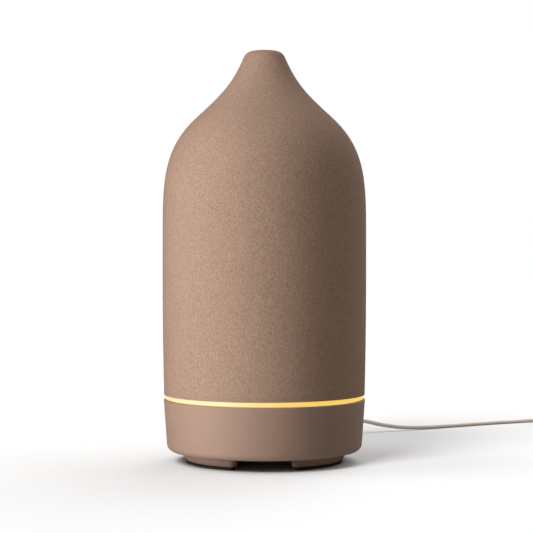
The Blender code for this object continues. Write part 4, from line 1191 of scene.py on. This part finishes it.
def sun(name, strength, spread, azimuth, height):
    """A sun of this angular spread that lights only the floor and the lead."""
    data = bpy.data.lights.new(name, "SUN")
    data.energy = strength
    data.angle = math.radians(spread)
    light = linked(name, data)
    level, up = math.cos(math.radians(height)), math.sin(math.radians(height))
    there = Vector((math.sin(math.radians(azimuth)) * level, -math.cos(math.radians(azimuth)) * level, up))
    light.rotation_euler = there.to_track_quat("Z", "Y").to_euler()
    light.light_linking.receiver_collection = floor_and_lead


bpy.ops.mesh.primitive_plane_add(size=40)
floor = bpy.context.object
floor.name = "floor"
floor.data.materials.append(white_floor())
floor_and_lead = bpy.data.collections.new("floor_and_lead")
floor_and_lead.objects.link(floor)
lit_with_floor = ["power_lead_cord", "plug_body", "cord_strap", "adapter_shell_back", "adapter_shell_front",
                  "mains_blade_1", "mains_blade_2"]
for name in lit_with_floor:
    floor_and_lead.objects.link(bpy.data.objects[name])
underside = ["bottom_plate", *[f"rubber_pad_{i + 1}" for i in range(FOOT_COUNT)]]


def all_but(name, left_out):
    """A light-linking collection that stands for everything but these objects."""
    made = bpy.data.collections.new(name)
    for obj in left_out:
        made.objects.link(obj)
    for link in made.collection_objects:
        link.light_linking.link_state = "EXCLUDE"
    return made


all_but_floor = all_but("all_but_floor", [floor])
above_underside = all_but("above_underside", [floor, *[bpy.data.objects[name] for name in underside]])

KEY_AZIMUTH, KEY_DISTANCE, KEY_HEIGHT = math.radians(-46), 0.17, 0.095
key_place = (math.sin(KEY_AZIMUTH) * KEY_DISTANCE, -math.cos(KEY_AZIMUTH) * KEY_DISTANCE, KEY_HEIGHT)
SOFT_LIGHTS = {  # watts, width and height, place, what it is aimed at; all in metres
    "tall_soft_light": (0.46, (0.07, 0.44), key_place, (0, 0, KEY_HEIGHT)),
    "far_edge_light": (0.9, (0.3, 0.5), (0.45, 0.5, 0.3), (0, 0, 0.1)),
    "overhead_soft_light": (0.55, (0.3, 0.3), (-0.06, -0.09, 0.52), (0, 0, 0.15)),
    "soft_back_light": (1.2, (0.3, 0.4), (0.05, 0.6, 0.2), (0, 0, 0.08)),
}
for name, values in SOFT_LIGHTS.items():
    linking = area_light(name, *values).light_linking
    linking.receiver_collection = above_underside
    linking.blocker_collection = all_but_floor
feet_only = bpy.data.collections.new("feet_only")
for name in underside:
    feet_only.objects.link(bpy.data.objects[name])
foot_light = area_light("low_foot_light", 0.2, (0.06, 0.03), (-0.2, -0.1, 0.03), (0, 0, 0))
foot_light.light_linking.receiver_collection = feet_only
FLOOR_SUNS = {  # strength, spread, azimuth from the front and height; angles in degrees
    "front": (1.95, 26, -35, 43),
    "side": (0.49, 24, -90, 60),
    "back": (1.03, 80, 125, 40),
    "high": (0.48, 40, 160, 50),
}
for name, values in FLOOR_SUNS.items():
    sun(f"floor_{name}_sun", *values)

world = bpy.data.worlds.new("white_room")
world.use_nodes = True
bpy.context.scene.world = world
rays = add(world.node_tree, "ShaderNodeLightPath").outputs["Is Camera Ray"]
strength = add(world.node_tree, "ShaderNodeMapRange", {0: rays, 3: 0.24, 4: 1.0}).outputs[0]
world.node_tree.links.new(strength, world.node_tree.nodes["Background"].inputs["Strength"])
world.node_tree.nodes["Background"].inputs["Color"].default_value = (1, 1, 1, 1)
